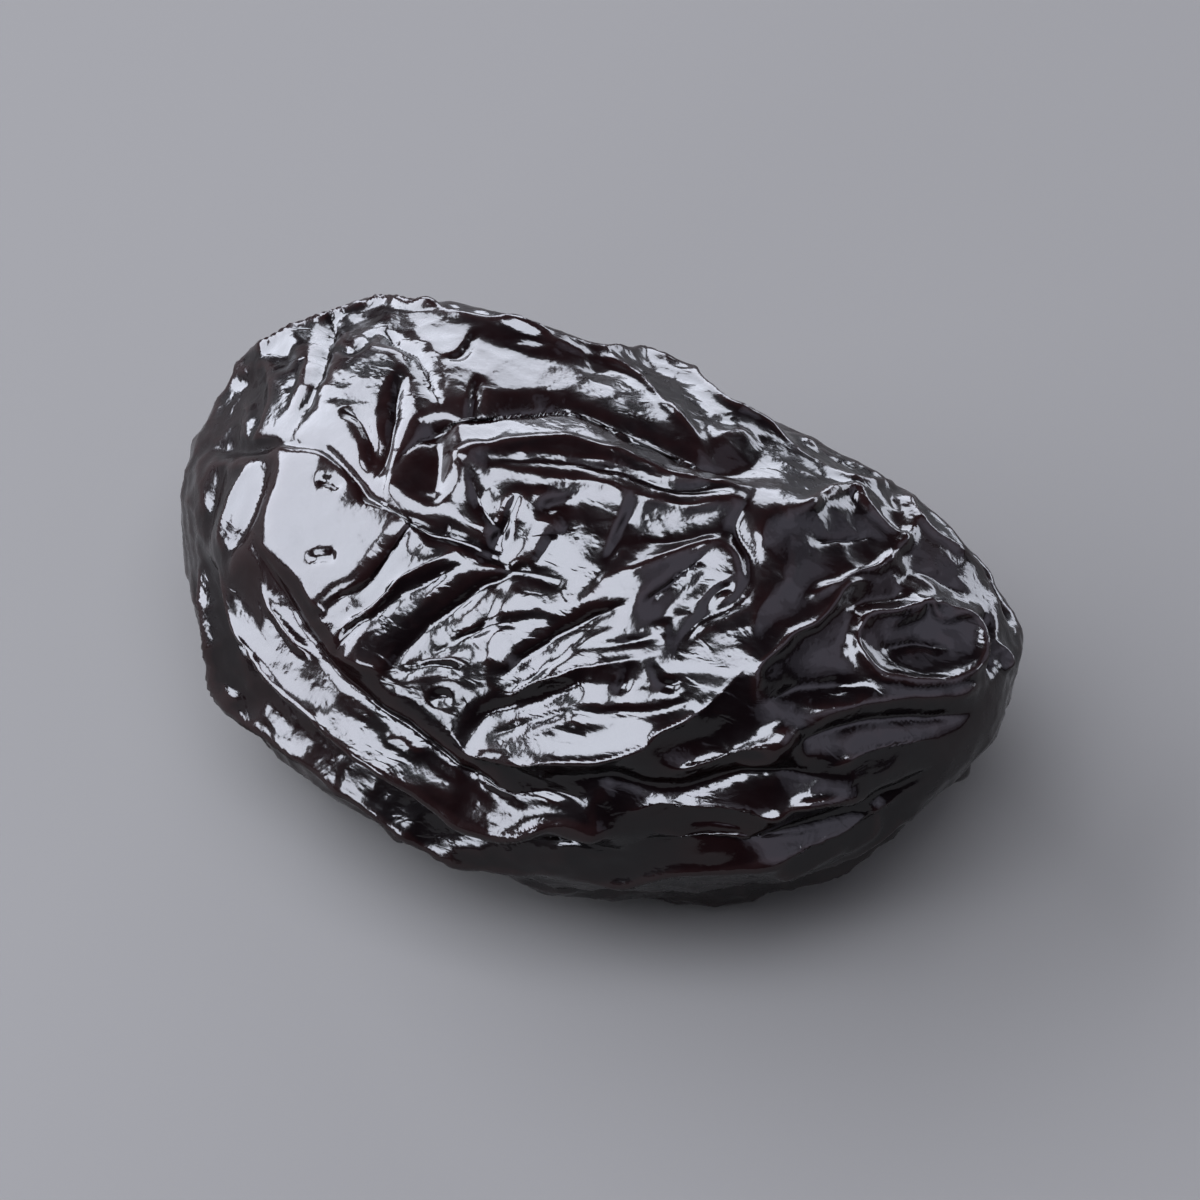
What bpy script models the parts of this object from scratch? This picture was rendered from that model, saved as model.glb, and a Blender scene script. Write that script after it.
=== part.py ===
"""A prune: one dried plum, whole, its skin drawn into ridges and grooves as it shrank.

The fruit lies on its broad underside. The round blossom end points to -X, and the narrower stem
end, with the nub of its scar, to +X. The origin is on the resting spot, under the middle of the box.
"""

import math
import random
from collections import Counter, namedtuple

import bpy
import numpy as np
from mathutils import Vector
from mathutils.bvhtree import BVHTree
from mathutils.geometry import delaunay_2d_cdt

MM = 0.001

# Driving dimensions of the plump form that the folds are drawn on.
LENGTH = 40.0 * MM
WIDTH = 25.3 * MM
THICKNESS = 22.0 * MM
BOXINESS = 2.1  # 2 is an ellipsoid, more fills the ends and flanks out
STEM_NARROWING = 0.04  # how much the width falls off from the middle to the stem end
STEM_THINNING = 0.22  # the same, for the thickness
BACK_ARCH = 1.6 * MM  # how far the back is arched up over the blossom half
SIDE_BOW = 2.2 * MM  # how far the ends bend back from the middle, so that the fruit is a little curved
BELLY = 10.2 * MM  # depth at which the underside is pressed flat, below the form's middle
BELLY_ROUNDING = 0.8 * MM
REST_DEPTH = 0.25 * MM  # how much the resting spot takes off the underside
LOWEST_POINTS = 40  # how many of the lowest points that is measured from

# The skin's points: rows of them along each fold and its flanks, and an even spread over the rest.
CREST_STEP = 0.60 * MM
FLANK_SHARE = 0.5  # where a flank's row runs, from the crest to the end of the fold's reach
FLANK_GAP = 0.45 * MM
SPREAD_COUNT = 6400
SPREAD_GAP = 0.62 * MM
GUIDE_RINGS = 96  # rings of the smooth guide surface that the folds are laid on

# The folds on the side that shows are drawn as seen from this bearing, in degrees: azimuth from -Y
# towards +X, and height above the horizon.
SEEN_AZIMUTH = 22.0
SEEN_ELEVATION = 50.0

# A fold: lift in mm, negative for a groove; reach to either side in mm; and the points that it runs
# through, as (across, up) in mm from the middle of the outline that is seen.
Fold = namedtuple("Fold", "lift reach route")

SHOULDERS = [
    Fold(1.10, 6.0, [(-16.2, 6.5), (-15.4, 3.0), (-13.8, -0.6), (-11.2, -3.8), (-8.6, -5.8), (-6.0, -7.0),
                     (-2.0, -7.2), (1.6, -7.0), (4.8, -5.8)]),
    Fold(0.80, 5.0, [(4.4, -6.0), (6.4, -2.8), (6.8, 0.5), (7.4, 3.5), (8.6, 6.0)]),
]
CROWN = [
    Fold(0.70, 1.7, [(-18.0, 8.6), (-15.4, 11.6), (-12.5, 13.2), (-9.0, 13.3), (-5.0, 12.4), (-1.0, 11.5),
                     (2.5, 11.0), (4.6, 9.8), (6.0, 8.6), (7.8, 7.9), (9.6, 6.4), (11.5, 5.2)]),
    Fold(0.60, 1.4, [(10.2, 6.0), (11.5, 5.2), (13.7, 4.7), (14.6, 3.2), (15.8, 2.3), (17.4, 1.4),
                     (18.6, -0.6)]),
    Fold(0.35, 0.9, [(-0.4, 11.6), (1.8, 10.2), (3.2, 8.9), (4.6, 7.2)]),
]
UPPER_FACE = [
    Fold(-0.95, 1.6, [(-9.8, 5.0), (-8.2, 7.4), (-5.0, 8.5), (-1.5, 8.7), (1.5, 7.6), (4.5, 6.2),
                      (7.2, 5.6)]),
    Fold(0.45, 1.1, [(-7.3, 5.4), (-5.2, 6.9), (-2.0, 7.2), (1.0, 6.5), (4.3, 5.3), (7.0, 4.8)]),
    Fold(-0.75, 1.2, [(-9.8, 12.6), (-8.6, 11.4), (-7.8, 10.2), (-7.2, 9.0)]),
    Fold(-0.60, 1.0, [(-12.3, 13.0), (-12.7, 11.0), (-13.2, 9.4), (-14.2, 7.8)]),
    Fold(-0.60, 1.0, [(-16.4, 10.4), (-15.9, 9.0), (-16.3, 7.4)]),
    Fold(-0.60, 1.0, [(-9.1, 10.3), (-9.4, 8.6), (-9.8, 7.0), (-10.3, 5.2)]),
    Fold(-0.60, 1.1, [(-18.8, 7.2), (-16.5, 7.2), (-14.3, 7.3), (-12.6, 6.8), (-11.3, 5.7), (-10.6, 4.5),
                      (-8.8, 3.7), (-7.2, 3.1), (-5.2, 2.3), (-3.6, 1.5), (-1.2, 0.6)]),
]
BLOSSOM_END = [
    Fold(-0.60, 1.1, [(-14.7, 6.6), (-15.3, 5.2), (-16.0, 3.4), (-16.8, 1.8)]),
    Fold(0.40, 0.9, [(-15.9, 6.4), (-16.7, 4.6), (-17.3, 2.7)]),
    Fold(-0.45, 1.0, [(-17.2, 6.4), (-17.9, 4.4), (-18.2, 2.4)]),
    Fold(-1.00, 1.6, [(-15.3, 2.6), (-14.3, 0.4), (-12.8, -2.0), (-10.8, -4.0), (-8.4, -5.7), (-6.2, -7.5),
                      (-3.5, -8.4), (-0.8, -8.6)]),
    Fold(1.05, 1.4, [(-17.2, 1.2), (-15.8, -1.2), (-14.2, -3.0), (-12.0, -4.8), (-9.8, -6.4), (-7.8, -8.0),
                     (-6.0, -9.3), (-4.0, -9.8), (-1.6, -9.6), (0.4, -10.2)]),
    Fold(-1.00, 1.3, [(-18.2, 1.6), (-17.0, -0.6), (-16.0, -2.8), (-14.4, -4.6), (-12.4, -6.2),
                      (-10.2, -7.8), (-8.0, -9.4), (-5.5, -10.7), (-2.0, -11.0), (1.0, -11.2)]),
    Fold(0.90, 1.4, [(-18.7, 1.6), (-17.8, -1.4), (-16.9, -3.8), (-15.0, -5.7), (-13.0, -7.2),
                     (-10.6, -8.8), (-7.4, -10.8), (-4.6, -11.9), (-1.8, -12.2)]),
]
MIDDLE_FACE = [
    Fold(-0.65, 1.0, [(-8.2, 3.5), (-9.6, 2.0), (-10.8, 0.5), (-12.2, -0.6)]),
    Fold(0.30, 0.9, [(-6.0, 2.4), (-8.2, 1.6), (-9.8, 0.4), (-11.4, -1.4)]),
    Fold(-0.80, 1.3, [(-3.4, 1.6), (-5.6, 0.5), (-7.4, -0.9), (-8.8, -2.2), (-9.6, -3.3)]),
    Fold(-0.60, 1.0, [(1.2, 0.1), (-1.0, -1.0), (-2.6, -2.2), (-4.6, -3.5)]),
    Fold(-0.60, 1.0, [(0.0, -3.5), (-2.0, -4.2), (-3.6, -4.7), (-5.0, -5.1), (-6.0, -6.3)]),
    Fold(0.35, 0.9, [(2.8, -2.4), (0.4, -2.8), (-1.8, -3.4), (-4.0, -4.2)]),
    Fold(0.55, 1.2, [(-6.2, -6.6), (-2.0, -6.9), (1.6, -6.6), (2.6, -5.8), (4.4, -5.0), (6.2, -3.5)]),
    Fold(-0.55, 1.0, [(1.8, -0.2), (3.4, 0.9), (5.0, 2.0)]),
    Fold(-0.40, 0.9, [(-5.9, 5.4), (-5.3, 4.2), (-4.3, 3.0), (-4.5, 2.0)]),
    Fold(0.35, 1.0, [(-3.0, 5.6), (0.5, 5.0), (3.6, 4.3), (6.6, 4.0)]),
    Fold(-0.50, 1.0, [(7.0, 4.8), (6.3, 3.2), (6.8, 1.6), (6.2, 0.0), (4.4, -1.2), (3.4, -2.8)]),
    Fold(0.30, 1.0, [(0.6, 1.2), (2.8, 2.0), (5.6, 2.6)]),
]
STEM_END = [
    Fold(0.45, 1.1, [(8.2, 3.5), (10.0, 4.1), (11.4, 4.8), (12.2, 3.8), (13.8, 2.7)]),
    Fold(0.45, 1.1, [(14.4, 3.6), (13.8, 2.7), (12.4, 1.5), (11.0, 0.9), (9.0, -0.1)]),
    Fold(-0.50, 1.3, [(9.2, 2.4), (10.8, 2.6), (12.4, 2.9)]),
    Fold(-0.45, 0.9, [(13.6, 0.6), (14.5, 1.4), (15.6, 1.2), (17.0, 0.6)]),
    Fold(0.50, 1.0, [(12.3, -3.1), (11.6, -1.9), (12.2, -0.8), (13.6, -0.6), (14.9, -0.3), (16.2, -0.6),
                     (17.2, -1.2), (17.3, -2.7), (15.8, -3.6), (13.8, -3.7), (12.3, -3.1)]),
    Fold(-0.65, 1.3, [(12.8, -2.2), (14.4, -2.0), (15.9, -2.1)]),
    Fold(-0.45, 0.9, [(11.2, -0.4), (12.6, 0.1), (14.2, 0.3)]),
    Fold(-0.50, 0.7, [(18.0, -0.6), (17.8, -2.0), (17.7, -3.4)]),
    Fold(0.50, 0.8, [(18.3, -1.8), (18.7, -2.5), (18.6, -3.2)]),
    Fold(0.60, 1.5, [(6.9, -4.6), (7.1, -3.2), (8.4, -1.9), (10.0, -0.8), (11.2, 0.4), (12.4, 0.9)]),
    Fold(-0.50, 1.1, [(7.6, -4.4), (9.6, -3.8), (11.6, -3.6)]),
    Fold(0.55, 1.3, [(8.8, -5.6), (11.0, -4.9), (13.6, -4.5), (16.2, -4.3), (17.6, -3.6)]),
    Fold(-0.50, 1.1, [(8.6, -6.3), (11.0, -5.7), (14.0, -5.4), (16.8, -5.2)]),
]
LOWER_FACE = [
    Fold(0.50, 1.1, [(3.2, -7.8), (5.4, -7.0), (7.8, -6.4), (8.8, -5.8)]),
    Fold(-0.55, 1.2, [(-2.2, -7.8), (0.6, -7.8), (2.6, -8.6), (5.0, -8.2), (8.0, -7.6), (10.4, -8.0)]),
    Fold(0.50, 1.2, [(10.6, -7.4), (12.6, -6.7), (15.2, -6.2)]),
    Fold(0.50, 1.2, [(0.8, -9.6), (3.0, -9.0), (5.6, -9.3), (7.8, -9.6), (9.0, -9.0), (11.2, -8.9),
                     (13.0, -9.4)]),
    Fold(-0.60, 1.3, [(1.2, -10.8), (4.4, -10.6), (7.6, -10.8), (10.6, -10.2), (13.4, -9.0), (15.4, -7.8)]),
    Fold(0.60, 1.4, [(-1.8, -12.4), (1.0, -12.5), (3.2, -12.1), (6.0, -11.8), (8.6, -11.3), (11.4, -10.4),
                     (13.6, -9.3)]),
    Fold(-0.35, 0.8, [(3.8, -9.9), (5.4, -10.0), (6.8, -10.2)]),
]
SHOWN_FOLDS = SHOULDERS + CROWN + UPPER_FACE + BLOSSOM_END + MIDDLE_FACE + STEM_END + LOWER_FACE

# The hidden side's folds run lengthwise, in rows round the long axis between these bearings, in
# degrees from +Y over the top. Ridges and grooves take turns, and short branches join the rows.
HIDDEN_FROM = 207.0
HIDDEN_TO = 398.0
HIDDEN_SPACING = 3.1 * MM
HIDDEN_ENDS = (-0.97, 0.93)  # along the fruit, from -1 at the blossom end to 1 at the stem end
HIDDEN_RUN = (0.55, 1.30)  # shortest and longest, in the same measure
HIDDEN_SWAY = (3.0, 6.0)  # degrees that a fold swings to either side
HIDDEN_SWINGS = 5.0  # how fast it swings along the fruit
HIDDEN_SLANT = 7.0  # degrees
HIDDEN_LIFT = (0.45, 0.85)
HIDDEN_REACH = (1.2, 1.8)
BRANCH_RUN = (0.12, 0.30)
BRANCH_LIFT = (0.30, 0.50)
BRANCH_REACH = (0.8, 1.1)
BRANCH_CHANCE = 0.8
HIDDEN_SEED = 11
ROUTE_STEPS = 24

# A fold's profile: sharp on its line and hollow beside it, dying out over a share of its length.
CREST_SHARPNESS = 1.7
FADE_SHARE = 0.2
END_LIFT = 0.15  # what is left of the lift at the fold's very ends

# Where the form faces down this steeply, the folds are pressed nearly flat.
PRESSED_FROM = 0.80
PRESSED_AWAY = 0.75

# Material of the skin, as seen: near black with a red-brown cast, and wet-looking.
SKIN_COLOUR = (0.010, 0.0045, 0.0050, 1.0)
SKIN_ROUGHNESS = 0.14


def viewer_axes():
    """Unit vectors to the right, up and back towards the viewer of the side that shows."""
    azimuth, elevation = math.radians(SEEN_AZIMUTH), math.radians(SEEN_ELEVATION)
    back = Vector((
        math.sin(azimuth) * math.cos(elevation),
        -math.cos(azimuth) * math.cos(elevation),
        math.sin(elevation),
    ))
    right = Vector((math.cos(azimuth), math.sin(azimuth), 0.0))
    return right, back.cross(right), back


def plump_form(directions):
    """Points of the smooth form, about its middle, in the given unit directions."""
    powers = np.abs(directions) ** BOXINESS
    x, y, z = (directions / (powers.sum(axis=1, keepdims=True) ** (1 / BOXINESS))).T
    width = WIDTH / 2 * (1 - STEM_NARROWING * x)
    depth = THICKNESS / 2 * (1 - STEM_THINNING * x)
    bow = SIDE_BOW * x**2
    arch = -BACK_ARCH * (x + 0.2) * (1 - x**2)
    points = np.stack([LENGTH / 2 * x, width * y + bow, depth * z + arch], axis=1)
    above = (points[:, 2] + BELLY) / BELLY_ROUNDING
    points[:, 2] = BELLY_ROUNDING * np.logaddexp(0, above) - BELLY
    return points


def guide_surface():
    """A search tree over the smooth form, as rings of triangles between a top and a bottom point."""
    turns = np.linspace(0, math.tau, 2 * GUIDE_RINGS, endpoint=False)
    dips = np.linspace(0, math.pi, GUIDE_RINGS + 1)[1:-1]
    rings = [[math.cos(turn) * math.sin(dip), math.sin(turn) * math.sin(dip), math.cos(dip)]
             for dip in dips for turn in turns]
    points = plump_form(np.array(rings + [[0.0, 0.0, 1.0], [0.0, 0.0, -1.0]]))
    top, bottom = len(rings), len(rings) + 1
    side = len(turns)
    faces = []
    for place in range(side):
        beside = (place + 1) % side
        faces.append((top, place, beside))
        for ring in range(0, top - side, side):
            faces.append((ring + place, ring + side + place, ring + side + beside, ring + beside))
        faces.append((bottom, top - side + beside, top - side + place))
    return BVHTree.FromPolygons(points.tolist(), faces), points


def smooth_route(points, steps=6):
    """A Catmull-Rom curve through the points, as a list of vectors."""
    points = [Vector(p).to_3d() for p in points]
    ends = [2 * points[0] - points[1], *points, 2 * points[-1] - points[-2]]
    route = []
    for a, b, c, d in zip(ends, ends[1:], ends[2:], ends[3:]):
        for step in range(steps):
            t = step / steps
            route.append(0.5 * (2 * b + (c - a) * t + (2 * a - 5 * b + 4 * c - d) * t**2
                                + (3 * b - a - 3 * c + d) * t**3))
    route.append(points[-1])
    return route


def outline_middle(points):
    """The middle of the outline that the viewer sees, as a point."""
    axes = np.array(viewer_axes())
    seen = points @ axes.T
    return Vector((seen.min(axis=0) + seen.max(axis=0)) / 2 @ axes)


def shown_route(tree, middle, route):
    """The fold's route laid on the form from the viewer's side, as an array of points."""
    right, up, back = viewer_axes()
    laid = []
    for across, rise, _ in smooth_route(route):
        point = middle + (across * right + rise * up) * MM
        hit = tree.ray_cast(point + back * LENGTH, -back)[0]
        laid.append(hit or tree.find_nearest(point)[0])
    return np.array(laid)


def around_route(along, bearing):
    """A route on the form through places along the long axis and bearings round it, in degrees."""
    ring = np.sqrt(1 - along**2)
    angle = np.radians(bearing)
    return plump_form(np.stack([along, ring * np.cos(angle), ring * np.sin(angle)], axis=1))


def hidden_folds():
    """Folds for the side away from the viewer, as pairs of a fold and its laid route."""
    draw = random.Random(HIDDEN_SEED)
    girth = math.radians(HIDDEN_TO - HIDDEN_FROM) * (WIDTH + THICKNESS) / 4
    rows = round(girth / HIDDEN_SPACING)
    row_turn = (HIDDEN_TO - HIDDEN_FROM) / rows
    first, last = HIDDEN_ENDS
    folds = []
    for row in range(rows):
        bearing = HIDDEN_FROM + row_turn * (row + 0.5)
        sign = 1 if row % 2 else -1
        start = first + draw.uniform(0, HIDDEN_RUN[0] / 4)
        while start < last - HIDDEN_RUN[0] / 2:
            end = min(last, start + draw.uniform(*HIDDEN_RUN))
            along = np.linspace(start, end, ROUTE_STEPS)
            swing = draw.uniform(*HIDDEN_SWAY) * np.sin(draw.uniform(0, math.tau) + HIDDEN_SWINGS * along)
            slant = draw.uniform(-HIDDEN_SLANT, HIDDEN_SLANT) * np.linspace(-1, 1, ROUTE_STEPS)
            fold = Fold(sign * draw.uniform(*HIDDEN_LIFT), draw.uniform(*HIDDEN_REACH), None)
            folds.append((fold, around_route(along, bearing + swing + slant)))
            if draw.random() < BRANCH_CHANCE:
                leave = draw.uniform(start, end)
                reach = min(last, leave + draw.uniform(*BRANCH_RUN))
                along = np.linspace(leave, reach, ROUTE_STEPS)
                turn = np.linspace(0, row_turn * draw.choice((-1, 1)), ROUTE_STEPS)
                fold = Fold(-sign * draw.uniform(*BRANCH_LIFT), draw.uniform(*BRANCH_REACH), None)
                folds.append((fold, around_route(along, bearing + turn)))
            start = end
    return folds


def fold_lift(points, fold, route):
    """How far a fold moves each point along the form's normal, in metres."""
    reach = fold.reach * MM
    starts, runs = route[:-1], np.diff(route, axis=0)
    lengths = np.linalg.norm(runs, axis=1)
    along = np.concatenate([[0.0], np.cumsum(lengths)])
    near = np.linalg.norm(points - route.mean(axis=0), axis=1) < along[-1] / 2 + 2 * reach
    offset = points[near, None, :] - starts
    share = np.clip((offset * runs).sum(axis=2) / np.maximum(lengths**2, MM**4), 0, 1)
    gaps = np.linalg.norm(offset - share[..., None] * runs, axis=2)
    nearest = gaps.argmin(axis=1)
    rows = np.arange(len(nearest))
    place = (along[nearest] + share[rows, nearest] * lengths[nearest]) / along[-1]
    closed = np.linalg.norm(route[0] - route[-1]) < reach / 4
    ends = 1.0 if closed else np.clip(np.minimum(place, 1 - place) / FADE_SHARE + END_LIFT, 0, 1)
    profile = np.clip(1 - gaps[rows, nearest] / reach, 0, 1) ** CREST_SHARPNESS
    lift = np.zeros(len(points))
    lift[near] = fold.lift * MM * ends * profile
    return lift


def add_spaced(kept, candidates, gap):
    """Adds each candidate that stays at least the gap away from every point that is kept."""
    for point in candidates:
        if np.min(np.linalg.norm(kept - point, axis=1)) >= gap:
            kept = np.vstack([kept, point])
    return kept


def crest_points(route):
    """Points every CREST_STEP along a laid route."""
    along = np.concatenate([[0.0], np.cumsum(np.linalg.norm(np.diff(route, axis=0), axis=1))])
    stops = np.linspace(0, along[-1], max(2, round(along[-1] / CREST_STEP)) + 1)
    return np.stack([np.interp(stops, along, route[:, axis]) for axis in range(3)], axis=1)


def flank_points(tree, fold, crest):
    """A row of points on either flank of a fold, on the smooth form."""
    row = []
    for point, run in zip(crest, np.gradient(crest, axis=0)):
        normal = np.array(tree.find_nearest(point)[1])
        side = np.cross(normal, run)
        side *= fold.reach * MM * FLANK_SHARE / np.linalg.norm(side)
        row += [tree.find_nearest(point + side)[0], tree.find_nearest(point - side)[0]]
    return np.array(row)


def even_spread():
    """Points all over the smooth form, on a spiral that turns by the golden angle."""
    step = np.arange(SPREAD_COUNT) + 0.5
    height = 1 - 2 * step / SPREAD_COUNT
    turn = math.pi * (3 - math.sqrt(5)) * step
    ring = np.sqrt(1 - height**2)
    return plump_form(np.stack([height, ring * np.cos(turn), ring * np.sin(turn)], axis=1))


def skin_triangles(points):
    """Delaunay triangles over the closed form, for points whose first is the lowest of the underside.

    The others are opened out on a plane, seen from that first point, which then closes the rim.
    """
    pole = Vector(points[0]).normalized()
    turn = pole.rotation_difference(Vector((0, 0, -1))).to_matrix()
    around = points[1:] @ np.array(turn).T
    around /= np.linalg.norm(around, axis=1, keepdims=True)
    opened = [Vector(p) for p in around[:, :2] / (1 + around[:, 2:])]
    faces = [tuple(corner + 1 for corner in face) for face in delaunay_2d_cdt(opened, [], [], 0, 1e-9)[2]]
    edges = [edge for a, b, c in faces for edge in ((a, b), (b, c), (c, a))]
    used = Counter(edges)
    rim = [(b, a, 0) for a, b in edges if not used[b, a]]
    return faces + rim


def folded_skin():
    """Points and triangles of the skin, with every fold raised along the form's normals."""
    tree, guide = guide_surface()
    middle = outline_middle(guide)
    folds = [(fold, shown_route(tree, middle, fold.route)) for fold in SHOWN_FOLDS] + hidden_folds()
    points = guide[-1:]
    crests = [crest_points(route) for _, route in folds]
    for crest in crests:
        points = add_spaced(points, crest, CREST_STEP / 2)
    for (fold, _), crest in zip(folds, crests):
        points = add_spaced(points, flank_points(tree, fold, crest), FLANK_GAP)
    points = add_spaced(points, even_spread(), SPREAD_GAP)
    normals = np.array([tree.find_nearest(p)[1] for p in points])
    lift = sum(fold_lift(points, fold, route) for fold, route in folds)
    pressed = np.clip((-normals[:, 2] - PRESSED_FROM) / (1 - PRESSED_FROM), 0, 1)
    lift *= 1 - PRESSED_AWAY * pressed
    return points + normals * lift[:, None], skin_triangles(points)


def set_on_base(points):
    """Presses the resting spot flat and moves the points so that their box stands centred on the origin."""
    floor = np.sort(points[:, 2])[:LOWEST_POINTS].mean() + REST_DEPTH
    points[:, 2] = np.maximum(points[:, 2], floor)
    middle = (points.min(axis=0) + points.max(axis=0)) / 2
    return points - [middle[0], middle[1], floor]


def skin_material():
    """Dark, glossy dried skin."""
    material = bpy.data.materials.new("skin")
    material.use_nodes = True
    shader = material.node_tree.nodes["Principled BSDF"]
    shader.inputs["Base Color"].default_value = SKIN_COLOUR
    shader.inputs["Roughness"].default_value = SKIN_ROUGHNESS
    shader.inputs["Metallic"].default_value = 0.0
    material.diffuse_color = SKIN_COLOUR
    return material


def make_prune():
    """The whole fruit, as one solid."""
    points, triangles = folded_skin()
    mesh = bpy.data.meshes.new("prune")
    mesh.from_pydata(set_on_base(points).tolist(), [], triangles)
    mesh.shade_smooth()
    mesh.materials.append(skin_material())
    prune = bpy.data.objects.new("prune", mesh)
    bpy.context.scene.collection.objects.link(prune)
    return prune


def main():
    for old in list(bpy.data.objects):
        bpy.data.objects.remove(old)
    make_prune()


main()
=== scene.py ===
"""The prune's looks: its fine wrinkled skin, the gloss on it, and a plain studio round it.

The skin is the part's own form on a fine mesh, with the same folds, and over them the small creases,
facets and wrinkles that the part's solid has no room for.
"""

import math
import random
from collections import namedtuple

import bpy
import numpy as np
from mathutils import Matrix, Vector, noise
from mathutils.bvhtree import BVHTree
from mathutils.kdtree import KDTree


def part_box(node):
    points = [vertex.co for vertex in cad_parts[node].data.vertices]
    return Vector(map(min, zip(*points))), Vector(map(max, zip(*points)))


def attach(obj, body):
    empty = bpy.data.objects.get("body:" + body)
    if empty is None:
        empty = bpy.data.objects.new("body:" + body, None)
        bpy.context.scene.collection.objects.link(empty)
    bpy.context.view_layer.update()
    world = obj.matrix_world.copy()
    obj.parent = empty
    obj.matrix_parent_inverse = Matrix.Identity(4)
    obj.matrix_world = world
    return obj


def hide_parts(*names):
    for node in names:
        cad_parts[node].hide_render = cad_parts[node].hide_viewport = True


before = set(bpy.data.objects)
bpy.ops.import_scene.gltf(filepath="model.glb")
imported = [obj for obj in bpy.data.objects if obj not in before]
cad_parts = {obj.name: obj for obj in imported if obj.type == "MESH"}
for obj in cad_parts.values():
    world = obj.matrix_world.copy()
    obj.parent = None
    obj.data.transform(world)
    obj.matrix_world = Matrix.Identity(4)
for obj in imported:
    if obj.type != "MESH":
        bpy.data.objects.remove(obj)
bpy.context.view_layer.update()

MM = 0.001

# The plump form that the folds are drawn on, as in the part.
LENGTH = 40.0 * MM
WIDTH = 25.3 * MM
THICKNESS = 22.0 * MM
BOXINESS = 2.1
STEM_NARROWING = 0.04
STEM_THINNING = 0.22
BACK_ARCH = 1.6 * MM
SIDE_BOW = 2.2 * MM
BELLY = 10.2 * MM
BELLY_ROUNDING = 0.8 * MM

# The bearing that the folds are drawn from, and that the camera looks from, in degrees.
SEEN_AZIMUTH = 22.0
SEEN_ELEVATION = 50.0

# A fold: lift in mm, negative for a groove; reach to either side in mm; and the points that it runs
# through, as (across, up) in mm from the middle of the outline that is seen.
Fold = namedtuple("Fold", "lift reach route")

# The part's own folds.
SHOULDERS = [
    Fold(1.10, 6.0, [(-16.2, 6.5), (-15.4, 3.0), (-13.8, -0.6), (-11.2, -3.8), (-8.6, -5.8), (-6.0, -7.0),
                     (-2.0, -7.2), (1.6, -7.0), (4.8, -5.8)]),
    Fold(0.80, 5.0, [(4.4, -6.0), (6.4, -2.8), (6.8, 0.5), (7.4, 3.5), (8.6, 6.0)]),
]
CROWN = [
    Fold(0.70, 1.7, [(-18.0, 8.6), (-15.4, 11.6), (-12.5, 13.2), (-9.0, 13.3), (-5.0, 12.4), (-1.0, 11.5),
                     (2.5, 11.0), (4.6, 9.8), (6.0, 8.6), (7.8, 7.9), (9.6, 6.4), (11.5, 5.2)]),
    Fold(0.60, 1.4, [(10.2, 6.0), (11.5, 5.2), (13.7, 4.7), (14.6, 3.2), (15.8, 2.3), (17.4, 1.4),
                     (18.6, -0.6)]),
    Fold(0.35, 0.9, [(-0.4, 11.6), (1.8, 10.2), (3.2, 8.9), (4.6, 7.2)]),
]
UPPER_FACE = [
    Fold(-0.95, 1.6, [(-9.8, 5.0), (-8.2, 7.4), (-5.0, 8.5), (-1.5, 8.7), (1.5, 7.6), (4.5, 6.2),
                      (7.2, 5.6)]),
    Fold(0.45, 1.1, [(-7.3, 5.4), (-5.2, 6.9), (-2.0, 7.2), (1.0, 6.5), (4.3, 5.3), (7.0, 4.8)]),
    Fold(-0.75, 1.2, [(-9.8, 12.6), (-8.6, 11.4), (-7.8, 10.2), (-7.2, 9.0)]),
    Fold(-0.60, 1.0, [(-12.3, 13.0), (-12.7, 11.0), (-13.2, 9.4), (-14.2, 7.8)]),
    Fold(-0.60, 1.0, [(-16.4, 10.4), (-15.9, 9.0), (-16.3, 7.4)]),
    Fold(-0.60, 1.0, [(-9.1, 10.3), (-9.4, 8.6), (-9.8, 7.0), (-10.3, 5.2)]),
    Fold(-0.60, 1.1, [(-18.8, 7.2), (-16.5, 7.2), (-14.3, 7.3), (-12.6, 6.8), (-11.3, 5.7), (-10.6, 4.5),
                      (-8.8, 3.7), (-7.2, 3.1), (-5.2, 2.3), (-3.6, 1.5), (-1.2, 0.6)]),
]
BLOSSOM_END = [
    Fold(-0.60, 1.1, [(-14.7, 6.6), (-15.3, 5.2), (-16.0, 3.4), (-16.8, 1.8)]),
    Fold(0.40, 0.9, [(-15.9, 6.4), (-16.7, 4.6), (-17.3, 2.7)]),
    Fold(-0.45, 1.0, [(-17.2, 6.4), (-17.9, 4.4), (-18.2, 2.4)]),
    Fold(-1.00, 1.6, [(-15.3, 2.6), (-14.3, 0.4), (-12.8, -2.0), (-10.8, -4.0), (-8.4, -5.7), (-6.2, -7.5),
                      (-3.5, -8.4), (-0.8, -8.6)]),
    Fold(1.05, 1.4, [(-17.2, 1.2), (-15.8, -1.2), (-14.2, -3.0), (-12.0, -4.8), (-9.8, -6.4), (-7.8, -8.0),
                     (-6.0, -9.3), (-4.0, -9.8), (-1.6, -9.6), (0.4, -10.2)]),
    Fold(-1.00, 1.3, [(-18.2, 1.6), (-17.0, -0.6), (-16.0, -2.8), (-14.4, -4.6), (-12.4, -6.2),
                      (-10.2, -7.8), (-8.0, -9.4), (-5.5, -10.7), (-2.0, -11.0), (1.0, -11.2)]),
    Fold(0.90, 1.4, [(-18.7, 1.6), (-17.8, -1.4), (-16.9, -3.8), (-15.0, -5.7), (-13.0, -7.2),
                     (-10.6, -8.8), (-7.4, -10.8), (-4.6, -11.9), (-1.8, -12.2)]),
]
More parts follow.
